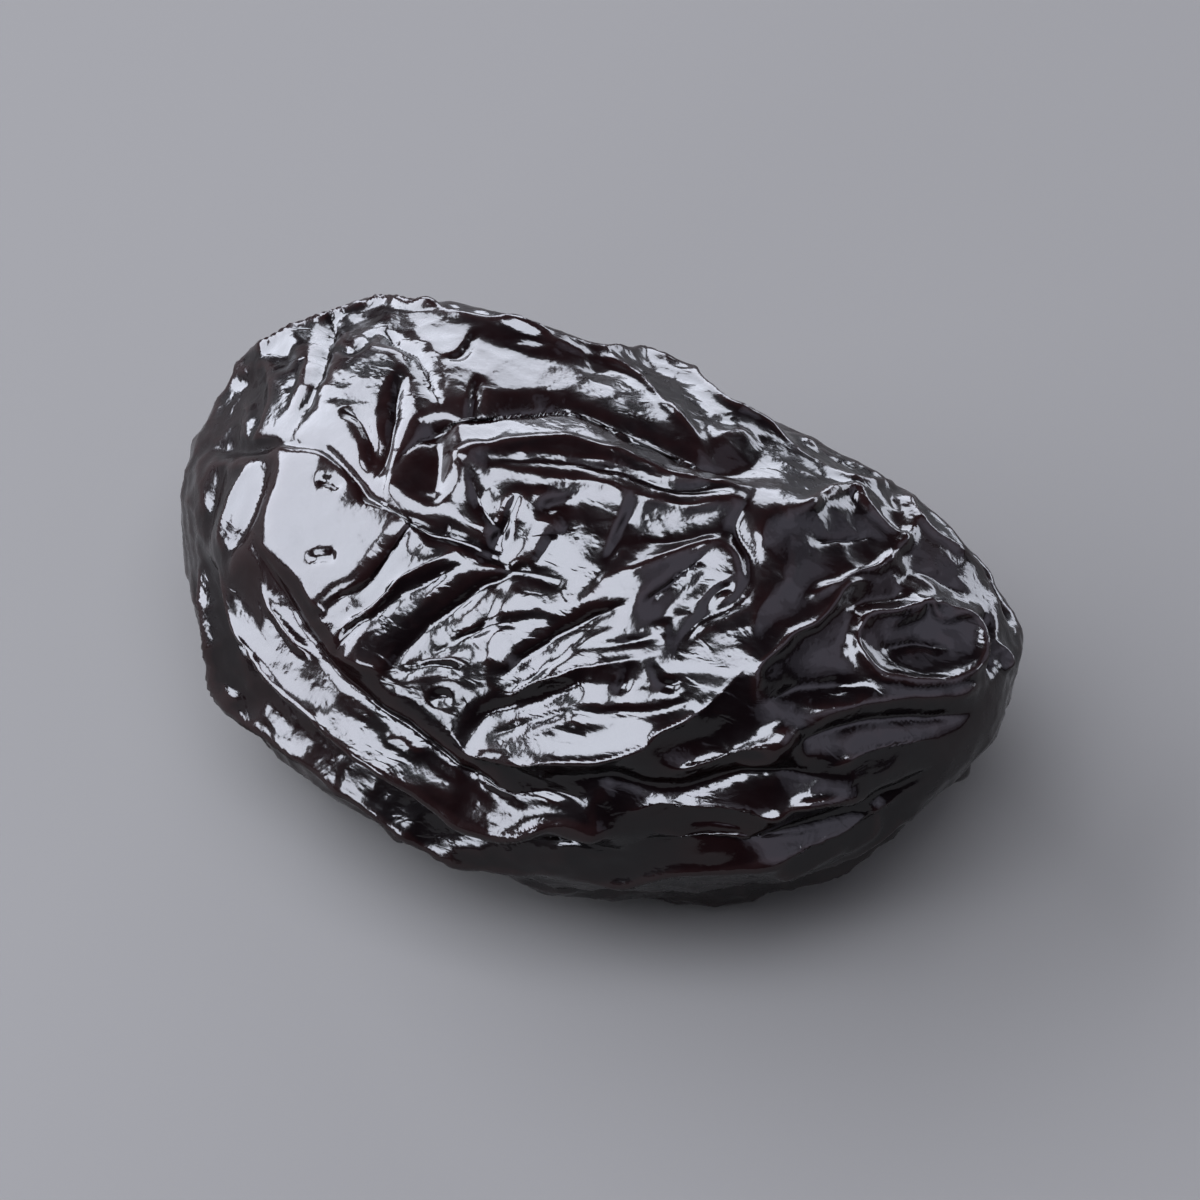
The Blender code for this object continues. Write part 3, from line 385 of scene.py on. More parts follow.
BACK_FACETS = [
    # upper left
    [(-16.9, 10.2), (-15.6, 10.6), (-15.5, 9.0), (-15.9, 8.2), (-16.3, 7.6), (-16.9, 7.6)],
    [(-12.8, 13.2), (-12.3, 13.2), (-12.5, 11.8), (-12.6, 10.8), (-12.9, 10.2), (-13.05, 10.3)],
    [(-12.1, 11.8), (-11.0, 12.2), (-10.7, 11.9), (-11.2, 11.2), (-12.0, 10.7)],
    [(-12.1, 9.0), (-10.9, 8.8), (-10.3, 7.4), (-10.0, 7.0), (-10.1, 5.8), (-10.7, 6.2), (-10.9, 7.2),
     (-11.4, 7.6), (-11.9, 8.2)],
    [(-9.4, 10.5), (-9.1, 10.3), (-9.2, 9.0), (-9.4, 8.0), (-9.7, 7.2), (-9.9, 6.0), (-10.1, 5.4),
     (-10.0, 7.0), (-9.7, 8.2), (-9.6, 9.6)],
    [(-10.2, 12.3), (-9.6, 13.0), (-8.3, 12.9), (-7.9, 12.0), (-7.2, 10.9), (-7.0, 9.0), (-8.2, 9.3),
     (-8.4, 10.2), (-8.9, 11.1), (-9.4, 11.8)],
    # under the crown's band
    [(-6.2, 9.0), (-5.7, 10.0), (-5.2, 10.4), (-5.1, 9.7), (-4.6, 9.1), (-3.9, 9.5), (-1.5, 9.5), (-1.0, 8.9),
     (0.2, 8.4), (1.5, 7.8), (3.0, 7.1), (4.4, 6.6), (5.0, 6.4), (5.0, 5.2), (4.4, 5.4), (3.0, 5.6),
     (2.0, 5.9), (1.0, 6.2), (0.0, 6.9), (-1.6, 7.3), (-1.2, 8.2), (-2.8, 8.3), (-3.8, 8.0), (-4.9, 7.2),
     (-6.0, 7.1), (-6.8, 8.4)],
    [(-0.4, 10.6), (1.0, 10.5), (2.0, 9.7), (2.6, 9.2), (1.0, 9.5), (-0.2, 9.9)],
    [(1.3, 10.9), (2.6, 10.7), (3.9, 10.1), (4.4, 9.6), (4.1, 9.0), (3.2, 9.4), (2.2, 10.2)],
    [(5.0, 10.1), (6.4, 9.6), (5.4, 9.4), (4.8, 9.7)],
    # round the great left facet
    [(-15.3, 4.2), (-15.0, 3.0), (-14.6, 2.0), (-14.0, 0.9), (-13.3, -0.3), (-12.8, -1.6), (-12.4, -2.5),
     (-11.0, -3.5), (-9.6, -4.5), (-8.0, -5.8), (-6.4, -7.0), (-6.0, -7.6), (-7.0, -8.0), (-8.6, -6.8),
     (-10.6, -5.4), (-12.4, -4.2), (-14.2, -2.8), (-14.4, -0.8), (-15.0, 0.4), (-16.8, 1.2), (-16.6, 2.2),
     (-16.0, 2.4), (-15.6, 3.4)],
    [(-15.4, 6.6), (-14.5, 6.9), (-14.4, 6.0), (-14.5, 5.4), (-15.1, 4.6), (-15.3, 3.8), (-15.2, 2.8),
     (-15.6, 2.4), (-16.2, 2.2), (-15.8, 3.0), (-15.8, 3.8), (-16.1, 4.6), (-15.7, 5.6)],
    # between the strips at the lower left
    [(-16.4, -2.3), (-15.4, -3.4), (-14.2, -4.3), (-12.2, -5.7), (-11.0, -6.5), (-11.8, -7.2), (-13.0, -6.3),
     (-14.6, -4.8), (-15.6, -4.4), (-16.4, -4.0)],
    [(-11.0, -6.5), (-10.0, -7.2), (-8.2, -8.5), (-6.4, -10.0), (-5.0, -10.5), (-1.5, -10.7), (-2.0, -11.8),
     (-6.0, -11.2), (-9.2, -9.2), (-10.4, -8.2), (-11.8, -7.2)],
    [(-18.0, 1.2), (-17.2, 0.6), (-16.6, -0.8), (-15.7, -2.2), (-16.3, -2.4), (-16.9, -1.4), (-17.4, -0.2)],
    [(-15.6, -0.6), (-14.4, -0.7), (-13.2, -2.3), (-12.2, -3.2), (-10.6, -4.2), (-11.2, -5.2), (-12.8, -4.0),
     (-14.2, -3.0), (-15.0, -1.8)],
    # right of the middle
    [(3.2, -0.6), (4.6, -0.9), (6.2, -0.4), (6.9, 0.8), (7.2, 2.0), (8.8, 3.4), (8.7, 1.0), (7.4, 0.2),
     (6.2, -1.6), (6.6, -3.0), (5.4, -3.2), (3.2, -3.1)],
    # under the rim and at the stem end
    [(7.4, 7.4), (8.4, 7.2), (9.6, 6.1), (11.2, 5.0), (10.2, 4.6), (8.6, 4.0), (7.2, 5.0), (7.0, 6.2)],
    [(13.9, 2.3), (14.8, 2.0), (15.2, 0.8), (14.6, -0.1), (13.9, 0.4)],
]
# Long thin bright facets: their width, and the line that they follow.
BRIGHT_LINES = [
    # along the crown and down to the stem
    (0.55, [(-3.6, 11.8), (-2.0, 11.8), (0.0, 11.6), (2.0, 11.3), (4.0, 10.4), (5.0, 9.7), (6.4, 8.9),
            (7.6, 8.4)]),
    (0.50, [(0.6, 11.2), (1.5, 10.6), (2.6, 9.5), (3.6, 8.4), (4.6, 7.5)]),
    (0.50, [(5.6, 8.3), (6.2, 8.1), (7.6, 7.7), (9.0, 6.9), (10.3, 6.0), (11.6, 5.3), (13.6, 4.8), (14.4, 3.5),
            (15.4, 2.6), (17.0, 1.8), (18.2, 0.8), (19.1, -0.8)]),
    (0.50, [(8.5, 3.8), (10.0, 4.3), (11.5, 4.9), (12.2, 3.8), (13.6, 3.0)]),
    # the strips at the lower left
    (0.70, [(-16.8, 0.4), (-16.0, -0.9), (-15.0, -2.3), (-13.6, -3.6), (-12.0, -4.9), (-10.0, -6.2),
            (-8.0, -7.6), (-6.2, -9.0), (-5.0, -9.7), (-3.0, -9.8), (-1.0, -9.9)]),
    (0.95, [(-15.4, -4.8), (-14.2, -5.9), (-12.9, -7.0), (-11.5, -7.8), (-10.3, -8.6)]),
]
FACET_INSET = 6  # degrees inside its panel that a facet turns to
FACET_FLATNESS = 0.6
FACET_MOST_TURN = 0.75
FACET_EDGE_ROUNDS = 1
FACET_PULLS = (1.5, 4.0)  # that of a facet of the area below, and the most for a smaller one
PULLED_AREA = 6.0 * MM**2
OPEN_PULL = 0.08  # how firmly the skin between the facets keeps its own slope
LEAN_STEPS = 1200
ANCHOR = 0.0006
MOST_LEAN = 1.3 * MM
LEAN_EVENING = 2
EDGE_WANDER = (1.3, 0.12)  # mm, length and distance

# A fold's profile, as in the part: sharp on its line and hollow beside it, dying out at its ends.
CREST_SHARPNESS = 1.7
FADE_SHARE = 0.2
END_LIFT = 0.15
PRESSED_FROM = 0.80
PRESSED_AWAY = 0.75

# Each of the part's folds also has a thin crest or cut along its line.
BROAD_REACH = 0.6  # mm; folds with less reach are creases already
SHOULDER_REACH = 4.0  # mm; folds with more reach are too broad for a crest
THIN_LIFT = 0.30
THIN_REACH = 0.42

# The skin's mesh, a box of this many squares along its sides blown up to the form, drawn together a
# little towards the side where every fold is drawn.
CELLS = (176, 110, 104)
FINER = 0.2

# The folds wander off their drawn lines by these distances, over these lengths.
WANDERS = ((3.0 * MM, 0.30 * MM, 40.0), (1.1 * MM, 0.10 * MM, 60.0))

# Facets: shallow bowls round scattered seeds. Spacing, curvature per metre, stretch of the seeds'
# spacing along the fruit, waver length and waver, and seed.
Facets = namedtuple("Facets", "gap curve squeeze waver_length waver seed")
LARGE_FACETS = Facets(4.2 * MM, 45.0, 0.55, 5.0 * MM, 1.2 * MM, 3)
MIDDLE_FACETS = Facets(1.9 * MM, 55.0, 0.60, 2.5 * MM, 0.7 * MM, 5)
SMALL_FACETS = Facets(0.8 * MM, 60.0, 0.70, 1.2 * MM, 0.3 * MM, 7)
SIZE_VARIATION = 0.13
SHOWN_CALM = 0.85  # how much weaker they are on the side where every fold is drawn
FLANK_TOP = -1.0 * MM  # below this the skin is more crinkled again, by so much
FLANK_DEPTH = 5.0 * MM
FLANK_FOLDS = 0.5  # of the middle facets and of the small ones
FLANK_CRINKLE = 3.5
RIM_CRINKLE = 1.8  # and that of the small ones towards the outline and beyond it
RIM_FACING = (0.5, 0.2)
SOFTENED = 0.8  # how much the hidden side and the flank are rounded, and the rounds
SOFTEN_ROUNDS = 6

# The facets are flattened and the creases between them sharpened: the angle, in radians, below
# which neighbouring faces count as one facet, and the rounds.
FLATTEN_ANGLE = 0.10
FLATTEN_ROUNDS = 8
FLATTEN_MOVES = 12

# How far a ridge stands above its surroundings, for the colour of its skin: the ridges are painted
# lighter, as painted light with some bloom, and the hollows are left darker as painted shade.
RELIEF_ROUNDS = 12
RELIEF_HEIGHT = 0.06 * MM


def seen_axes():
    """Unit vectors to the right, up and back towards the viewer, as rows."""
    azimuth, elevation = math.radians(SEEN_AZIMUTH), math.radians(SEEN_ELEVATION)
    back = Vector((
        math.sin(azimuth) * math.cos(elevation),
        -math.cos(azimuth) * math.cos(elevation),
        math.sin(elevation),
    ))
    right = Vector((math.cos(azimuth), math.sin(azimuth), 0.0))
    return np.array([right, back.cross(right), back])


def unit(vectors):
    """The rows, each made one long."""
    return vectors / np.linalg.norm(vectors, axis=1, keepdims=True)


def plump_form(directions):
    """Points of the smooth form, about its middle, in the given unit directions."""
    powers = np.abs(directions) ** BOXINESS
    x, y, z = (directions / (powers.sum(axis=1, keepdims=True) ** (1 / BOXINESS))).T
    width = WIDTH / 2 * (1 - STEM_NARROWING * x)
    depth = THICKNESS / 2 * (1 - STEM_THINNING * x)
    bow = SIDE_BOW * x**2
    arch = -BACK_ARCH * (x + 0.2) * (1 - x**2)
    points = np.stack([LENGTH / 2 * x, width * y + bow, depth * z + arch], axis=1)
    above = (points[:, 2] + BELLY) / BELLY_ROUNDING
    points[:, 2] = BELLY_ROUNDING * np.logaddexp(0, above) - BELLY
    return points


def blown_box(cells):
    """Unit directions and squares of a box's sides, with its edges shared."""
    steps = [np.tan(np.linspace(-1, 1, count + 1) * math.pi / 4) for count in cells]
    places = {}
    faces = []
    for axis in range(3):
        across, along = (axis + 1) % 3, (axis + 2) % 3
        for side in (-1.0, 1.0):
            rows = []
            for i in steps[across]:
                row = []
                for j in steps[along]:
                    spot = [0.0, 0.0, 0.0]
                    spot[axis] = side
                    spot[across] = i * side
                    spot[along] = j
                    row.append(places.setdefault(tuple(round(c, 6) for c in spot), len(places)))
                rows.append(row)
            for low, high in zip(rows, rows[1:]):
                faces += zip(low, high, high[1:], low[1:])
    directions = unit(np.array(list(places)))
    return unit(directions + FINER * seen_axes()[2]), np.array(faces)


def face_normals(points, faces):
    """Each square's unit normal and its area."""
    cross = np.cross(points[faces[:, 2]] - points[faces[:, 0]], points[faces[:, 3]] - points[faces[:, 1]])
    size = np.linalg.norm(cross, axis=1, keepdims=True)
    return cross / size, size[:, 0] / 2


def gathered(index, values, count):
    """Sums the rows of values that share an index."""
    return np.stack([np.bincount(index, column, count) for column in values.T], axis=1)


def point_normals(points, faces):
    normals, area = face_normals(points, faces)
    total = sum(gathered(faces[:, corner], normals * area[:, None], len(points)) for corner in range(4))
    return unit(total)


def side_edges(faces):
    """Every side of every square, as pairs of points."""
    return np.concatenate([faces[:, [k, (k + 1) % 4]] for k in range(4)])


def evened(values, edges, rounds):
    """Moves each point's values halfway to the mean of its neighbours', a few times."""
    count = len(values)
    values = values.reshape(count, -1)
    degree = np.bincount(edges.ravel(), minlength=count)[:, None]
    for _ in range(rounds):
        total = gathered(edges[:, 0], values[edges[:, 1]], count) + gathered(edges[:, 1], values[edges[:, 0]], count)
        values = (values + total / degree) / 2
    return values.squeeze()


def smooth_route(points, steps=6):
    """A Catmull-Rom curve through the points, as a list of vectors."""
    points = [Vector(p).to_3d() for p in points]
    ends = [2 * points[0] - points[1], *points, 2 * points[-1] - points[-2]]
    route = []
    for a, b, c, d in zip(ends, ends[1:], ends[2:], ends[3:]):
        for step in range(steps):
            t = step / steps
            route.append(0.5 * (2 * b + (c - a) * t + (2 * a - 5 * b + 4 * c - d) * t**2
                                + (3 * b - a - 3 * c + d) * t**3))
    route.append(points[-1])
    return route


def shown_route(tree, middle, route):
    """The fold's route laid on the form from the viewer's side, as an array of points."""
    right, up, back = (Vector(axis) for axis in seen_axes())
    laid = []
    for across, rise, _ in smooth_route(route):
        point = middle + (across * right + rise * up) * MM
        hit = tree.ray_cast(point + back * LENGTH, -back)[0]
        laid.append(hit or tree.find_nearest(point)[0])
    return np.array(laid)


def around_route(along, bearing):
    """A route on the form through places along the long axis and bearings round it, in degrees."""
    ring = np.sqrt(1 - along**2)
    angle = np.radians(bearing)
    return plump_form(np.stack([along, ring * np.cos(angle), ring * np.sin(angle)], axis=1))


def hidden_folds():
    """Folds for the side away from the viewer, as pairs of a fold and its laid route."""
    draw = random.Random(HIDDEN_SEED)
    girth = math.radians(HIDDEN_TO - HIDDEN_FROM) * (WIDTH + THICKNESS) / 4
    rows = round(girth / HIDDEN_SPACING)
    row_turn = (HIDDEN_TO - HIDDEN_FROM) / rows
    first, last = HIDDEN_ENDS
    folds = []
    for row in range(rows):
        bearing = HIDDEN_FROM + row_turn * (row + 0.5)
        sign = 1 if row % 2 else -1
        start = first + draw.uniform(0, HIDDEN_RUN[0] / 4)
        while start < last - HIDDEN_RUN[0] / 2:
            end = min(last, start + draw.uniform(*HIDDEN_RUN))
            along = np.linspace(start, end, ROUTE_STEPS)
            swing = draw.uniform(*HIDDEN_SWAY) * np.sin(draw.uniform(0, math.tau) + HIDDEN_SWINGS * along)
            slant = draw.uniform(-HIDDEN_SLANT, HIDDEN_SLANT) * np.linspace(-1, 1, ROUTE_STEPS)
            fold = Fold(sign * draw.uniform(*HIDDEN_LIFT), draw.uniform(*HIDDEN_REACH), None)
            folds.append((fold, around_route(along, bearing + swing + slant)))
            if draw.random() < BRANCH_CHANCE:
                leave = draw.uniform(start, end)
                reach = min(last, leave + draw.uniform(*BRANCH_RUN))
                along = np.linspace(leave, reach, ROUTE_STEPS)
                turn = np.linspace(0, row_turn * draw.choice((-1, 1)), ROUTE_STEPS)
                fold = Fold(-sign * draw.uniform(*BRANCH_LIFT), draw.uniform(*BRANCH_REACH), None)
                folds.append((fold, around_route(along, bearing + turn)))
            start = end
    return folds


def sharp_profile(gap):
    """A fold's share of its lift at this share of its reach: a sharp crest with hollow sides."""
    return np.clip(1 - gap, 0, 1) ** CREST_SHARPNESS


def round_profile(gap):
    """The same for a ridge with a round top."""
    return np.clip(1 - gap**2, 0, 1) ** 2


def fold_lift(points, fold, route, profile=sharp_profile):
    """How far a fold moves each point along the form's normal, in metres."""
    reach = fold.reach * MM
    starts, runs = route[:-1], np.diff(route, axis=0)
    lengths = np.linalg.norm(runs, axis=1)
    along = np.concatenate([[0.0], np.cumsum(lengths)])
    near = np.linalg.norm(points - route.mean(axis=0), axis=1) < along[-1] / 2 + 2 * reach
    offset = points[near, None, :] - starts
    share = np.clip((offset * runs).sum(axis=2) / np.maximum(lengths**2, MM**4), 0, 1)
    gaps = np.linalg.norm(offset - share[..., None] * runs, axis=2)
    nearest = gaps.argmin(axis=1)
    rows = np.arange(len(nearest))
    place = (along[nearest] + share[rows, nearest] * lengths[nearest]) / along[-1]
    closed = np.linalg.norm(route[0] - route[-1]) < reach / 4
    ends = 1.0 if closed else np.clip(np.minimum(place, 1 - place) / FADE_SHARE + END_LIFT, 0, 1)
    lift = np.zeros(len(points))
    lift[near] = fold.lift * MM * ends * profile(gaps[rows, nearest] / reach)
    return lift


def wandered(points, length, distance, offset):
    """The points, each moved by a smooth noise of that wave length and distance."""
    steps = [noise.noise_vector(p) for p in (points / length + offset).tolist()]
    return points + distance * np.array(steps)


def scattered_seeds(facets):
    """Seeds on the form at least a gap apart, with its length squeezed so that facets run long."""
    draw = random.Random(facets.seed)
    squeeze = np.array([facets.squeeze, 1.0, 1.0])
    kept = np.full((1, 3), LENGTH * 100)
    misses = 0
    while misses < 300:
        direction = np.array([draw.gauss(0, 1) for _ in range(3)])
        spot = plump_form(direction[None] / np.linalg.norm(direction))[0] * squeeze
        if np.min(np.linalg.norm(kept - spot, axis=1)) > facets.gap:
            kept = np.vstack([kept, spot])
            misses = 0
        else:
            misses += 1
    return kept[1:]


def facet_lift(points, facets):
    """Lift of the shallow bowls that meet in ridges between their seeds, in metres."""
    seeds = scattered_seeds(facets)
    draw = random.Random(facets.seed + 1)
    size = [draw.uniform(-SIZE_VARIATION, SIZE_VARIATION) * facets.gap**2 for _ in seeds]
    tree = KDTree(len(seeds))
    for index, seed in enumerate(seeds):
        tree.insert(seed, index)
    tree.balance()
    spots = wandered(points, facets.waver_length, facets.waver, facets.seed)
    spots *= [facets.squeeze, 1.0, 1.0]
    lift = np.array([min(gap * gap + size[index] for _, index, gap in tree.find_n(spot, 6))
                     for spot in spots.tolist()])
    return facets.curve * (lift - lift.mean())


def bearing_vector(azimuth, elevation):
    """Unit vector towards a bearing: azimuth from -Y towards +X, and height above the horizon."""
    turn, rise = math.radians(azimuth), math.radians(elevation)
    return Vector((math.sin(turn) * math.cos(rise), -math.cos(turn) * math.cos(rise), math.sin(rise)))


def panel_axes(panel):
    """Unit vectors across the panel, up it and towards it, as rows."""
    away = bearing_vector(panel.azimuth, panel.elevation)
    across = Vector((0, 0, 1)).cross(away).normalized()
    return np.array([across, away.cross(across), away])


def nearest_in(direction, panels):
    """The unit vector nearest to the direction that points into one of the panels."""
    found = []
    for panel in panels:
        across, rise, ahead = panel_axes(panel) @ direction
        sideways = math.degrees(math.atan2(across, ahead))
        upward = math.degrees(math.asin(rise))
        width, height = (half - min(FACET_INSET, half / 2) for half in (panel.half_width, panel.half_height))
        sideways = max(-width, min(width, sideways))
        upward = max(-height, min(height, upward))
        turned = bearing_vector(sideways, upward)
        found.append(np.array([turned.x, turned.z, -turned.y]) @ panel_axes(panel))
    return max(found, key=lambda vector: vector @ direction)


def inside(outline, spots):
    """Which of the spots lie inside a closed outline."""
    x, y = spots.T
    crossed = np.zeros(len(spots), bool)
    for (x0, y0), (x1, y1) in zip(outline, outline[1:] + outline[:1]):
        if y0 != y1:
            crossed ^= ((y0 > y) != (y1 > y)) & (x < (x1 - x0) * (y - y0) / (y1 - y0) + x0)
    return crossed


def line_outlines(width, route):
    """Outlines of the short pieces of a thin facet that follows a line."""
    outlines = []
    for (x0, y0), (x1, y1) in zip(route, route[1:]):
        length = math.hypot(x1 - x0, y1 - y0)
        x, y = (y0 - y1) / length * width / 2, (x1 - x0) / length * width / 2
        outlines.append([(x0 - x, y0 - y), (x1 - x, y1 - y), (x1 + x, y1 + y), (x0 + x, y0 + y)])
    return outlines


def facet_normals(points, faces, middle):
    """Each square's wanted normal and how firmly it is wanted."""
    right, up, back = seen_axes()
    normals, area = face_normals(points, faces)
    centres = (points[faces].mean(axis=1) - middle) @ seen_axes().T / MM
    length, distance = EDGE_WANDER
    spots = wandered(centres, length, distance, 20.0)[:, :2]
    facing = normals @ back > 0.05
    wanted = normals.copy()
    pull = np.where(facing, OPEN_PULL, 1.0)
    lines = [outline for width, route in BRIGHT_LINES for outline in line_outlines(width, route)]
    kinds = ((WINDOW, BRIGHT_FACETS), (FAR_SIDE, DIM_FACETS), (DARK_BEFORE, FRONT_FACETS), (DARK_BEHIND, BACK_FACETS),
             (WINDOW, lines))
    for panels, outlines in kinds:
        for outline in outlines:
            low, high = np.min(outline, axis=0), np.max(outline, axis=0)
            near = np.nonzero(facing & np.all((spots > low) & (spots < high), axis=1))[0]
            chosen = near[inside(outline, spots[near])]
            if len(chosen) == 0:
                continue
            mean = unit((normals[chosen] * area[chosen, None]).sum(axis=0, keepdims=True))[0]
            mirrored = 2 * (mean @ back) * mean - back
            target = unit((nearest_in(mirrored, panels) + back)[None])[0]
            turn = target - mean
            turn *= min(1, FACET_MOST_TURN / max(np.linalg.norm(turn), MM))
            own = FACET_FLATNESS * mean + (1 - FACET_FLATNESS) * normals[chosen]
            wanted[chosen] = unit(own + turn)
            pull[chosen] = min(FACET_PULLS[1], FACET_PULLS[0] * math.sqrt(PULLED_AREA / area[chosen].sum()))
    return wanted, pull


def leaned(points, faces, middle):
    """The skin with its facets turned to their light, by the lifts that fit them all best.

    The squares' corners should lie level on planes square to the wanted normals, while every point
    stays near its place. Both are least squares in the lifts along the normals, which are solved by
    conjugate gradients.
    """
    one, other = neighbour_faces(faces)
    wanted, pull = facet_normals(points, faces, middle)
    for _ in range(FACET_EDGE_ROUNDS):
        total = 2 * wanted + gathered(one, wanted[other], len(faces)) + gathered(other, wanted[one], len(faces))
        wanted = unit(total)
    out = point_normals(points, faces)
    count = len(points)
    flat = faces.ravel()
    share = (out[faces] * wanted[:, None]).sum(axis=2)
    level = (points[faces] * wanted[:, None]).sum(axis=2)

    def unevenness(heights):
        """What the squares ask of each point where their corners stand at these heights."""
        off = (heights - heights.mean(axis=1, keepdims=True)) * share * pull[:, None]
        return np.bincount(flat, off.ravel(), count)

    lift = np.zeros(count)
    left = -unevenness(level)
    step = left.copy()
    size = left @ left
    for _ in range(LEAN_STEPS):
        asked = unevenness(step[faces] * share) + ANCHOR * step
        stride = size / (step @ asked)
        lift += stride * step
        left -= stride * asked
        grown = left @ left
        step = left + grown / size * step
        size = grown
    lift = evened(np.clip(lift, -MOST_LEAN, MOST_LEAN), side_edges(faces), LEAN_EVENING)
    return points + out * lift[:, None]


def neighbour_faces(faces):
    """Pairs of squares that share a side."""
    sides = np.sort(side_edges(faces), axis=1)
    owner = np.tile(np.arange(len(faces)), 4)
    key = sides[:, 0] * (faces.max() + 1) + sides[:, 1]
    order = np.argsort(key, kind="stable")
    same = np.nonzero(np.diff(key[order]) == 0)[0]
    return owner[order[same]], owner[order[same + 1]]


def flattened(points, faces):
    """Turns gently bent stretches into flat facets, and keeps the creases between them sharp."""
    one, other = neighbour_faces(faces)
    normals, area = face_normals(points, faces)
    for _ in range(FLATTEN_ROUNDS):
        bend = ((normals[one] - normals[other]) ** 2).sum(axis=1)
        alike = np.exp(-bend / (2 * FLATTEN_ANGLE**2))
        total = 0.3 * normals * area[:, None]
        total += gathered(one, normals[other] * (alike * area[other])[:, None], len(faces))
        total += gathered(other, normals[one] * (alike * area[one])[:, None], len(faces))
        normals = unit(total)
    degree = np.bincount(faces.ravel(), minlength=len(points))[:, None]
    for _ in range(FLATTEN_MOVES):
        centre = points[faces].mean(axis=1)
        move = np.zeros_like(points)
        for corner in faces.T:
            height = ((centre - points[corner]) * normals).sum(axis=1, keepdims=True)
            move += gathered(corner, normals * height, len(points))
        points = points + move / degree
    return points


def seen_middle(guide):
    """The middle of the form's outline as the viewer sees it."""
    axes = seen_axes()
    seen = guide @ axes.T
    return (seen.min(axis=0) + seen.max(axis=0)) / 2 @ axes


def all_folds(guide, faces):
    """The part's folds, the creases and the round ridges, each with its route laid on the form."""
    tree = BVHTree.FromPolygons(guide.tolist(), faces.tolist())
    middle = Vector(seen_middle(guide))
    broad = [(fold, shown_route(tree, middle, fold.route)) for fold in SHOWN_FOLDS] + hidden_folds()
    thin = [(fold, shown_route(tree, middle, fold.route)) for fold in SHOWN_CREASES]
    for fold, route in broad:
        if fold.reach < SHOULDER_REACH:
            thin.append((Fold(THIN_LIFT * fold.lift, THIN_REACH, None), route))
    ridges = [(fold, shown_route(tree, middle, fold.route)) for fold in SHOWN_RIDGES]
    return broad, thin, ridges


def skin_points(directions, faces):
    """The wrinkled skin's points, standing on the base as the part does, and their relief."""
    form = plump_form(directions)
    normals = point_normals(form, faces)
    edges = side_edges(faces)
    broad, thin, ridges = all_folds(form, faces)
    drawn = form
    for length, distance, offset in WANDERS:
        drawn = wandered(drawn, length, distance, offset)
    lift = evened(sum(fold_lift(drawn, fold, route) for fold, route in broad), edges, 1)
    creases = evened(sum(fold_lift(drawn, fold, route) for fold, route in thin), edges, 1)
    creases += sum(fold_lift(drawn, fold, route, round_profile) for fold, route in ridges)
    facing = normals @ seen_axes()[2]
    shown = np.clip(facing * 1.5 + 0.3, 0, 1)
    flank = np.clip((FLANK_TOP - form[:, 2]) / FLANK_DEPTH, 0, 1)
    rim = np.clip((RIM_FACING[0] - facing) / (RIM_FACING[0] - RIM_FACING[1]), 0, 1)
    crinkle = 1 + np.maximum(FLANK_CRINKLE * flank, RIM_CRINKLE * rim)
    lift += facet_lift(form, LARGE_FACETS) * (1 - SHOWN_CALM * shown)
    lift += facet_lift(form, MIDDLE_FACETS) * (1 + FLANK_FOLDS * flank - SHOWN_CALM * shown * (1 - flank))
    pressed = 1 - PRESSED_AWAY * np.clip((-normals[:, 2] - PRESSED_FROM) / (1 - PRESSED_FROM), 0, 1)
    points = form + normals * (lift * pressed)[:, None]
    points = leaned(flattened(points, faces), faces, seen_middle(form))
    points = evened(points, edges, 1)
    softened = SOFTENED * np.clip(1 - shown + flank, 0, 1)
    points += (evened(points, edges, SOFTEN_ROUNDS) - points) * softened[:, None]
    small = (creases + facet_lift(form, SMALL_FACETS) * crinkle) * pressed
    points += point_normals(points, faces) * small[:, None]
    low, high = (np.array(corner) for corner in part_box("prune"))
    middle = (points.min(axis=0) + points.max(axis=0)) / 2
    points -= [middle[0], middle[1], points[:, 2].max() - high[2]]
    points[:, 2] = np.maximum(points[:, 2], low[2])
    height = ((points - evened(points, edges, RELIEF_ROUNDS)) * point_normals(points, faces)).sum(axis=1)
    return points, np.clip(height / RELIEF_HEIGHT, -1, 1)


def make_skin():
    directions, faces = blown_box(CELLS)
    points, relief = skin_points(directions, faces)
    mesh = bpy.data.meshes.new("prune_skin")
    mesh.from_pydata(points.tolist(), [], faces.tolist())
    mesh.shade_smooth()
    mesh.attributes.new("relief", "FLOAT", "POINT").data.foreach_set("value", relief.astype(np.float32))
    skin = bpy.data.objects.new("prune_skin", mesh)
    bpy.context.scene.collection.objects.link(skin)
    return skin


# Looks of the skin: dark flesh with ruddy patches, and ridges painted lighter as painted light with some
# bloom, under a sharp coat and a softer gloss. Texture scales are in waves per metre, and heights in metres.
FLESH_COLOUR = (0.0010, 0.0004, 0.0005, 1.0)
RUDDY_COLOUR = (0.0032, 0.0008, 0.0008, 1.0)
# Painted light with some bloom: the lighter colour laid on the ridges, while the darker hollows are painted shade.
RIDGE_BLOOM_AND_LIGHT_COLOUR = (0.0040, 0.0015, 0.0015, 1.0)
SKIN_ROUGHNESS = (0.20, 0.36)
SKIN_IOR = 1.5
SKIN_GLOSS = 0.04
COAT_WEIGHT = 0.32
COAT_IOR = 2.0
COAT_ROUGHNESS = 0.12
WRINKLE_SCALE = 650.0
WRINKLE_HEIGHT = 0.036 * MM
CRINKLE_SCALE = 1100.0
CRINKLE_HEIGHT = 0.009 * MM
PORE_SCALE = 1900.0
PORE_HEIGHT = 0.008 * MM
GRAIN_SCALE = 5200.0
GRAIN_HEIGHT = 0.0045 * MM


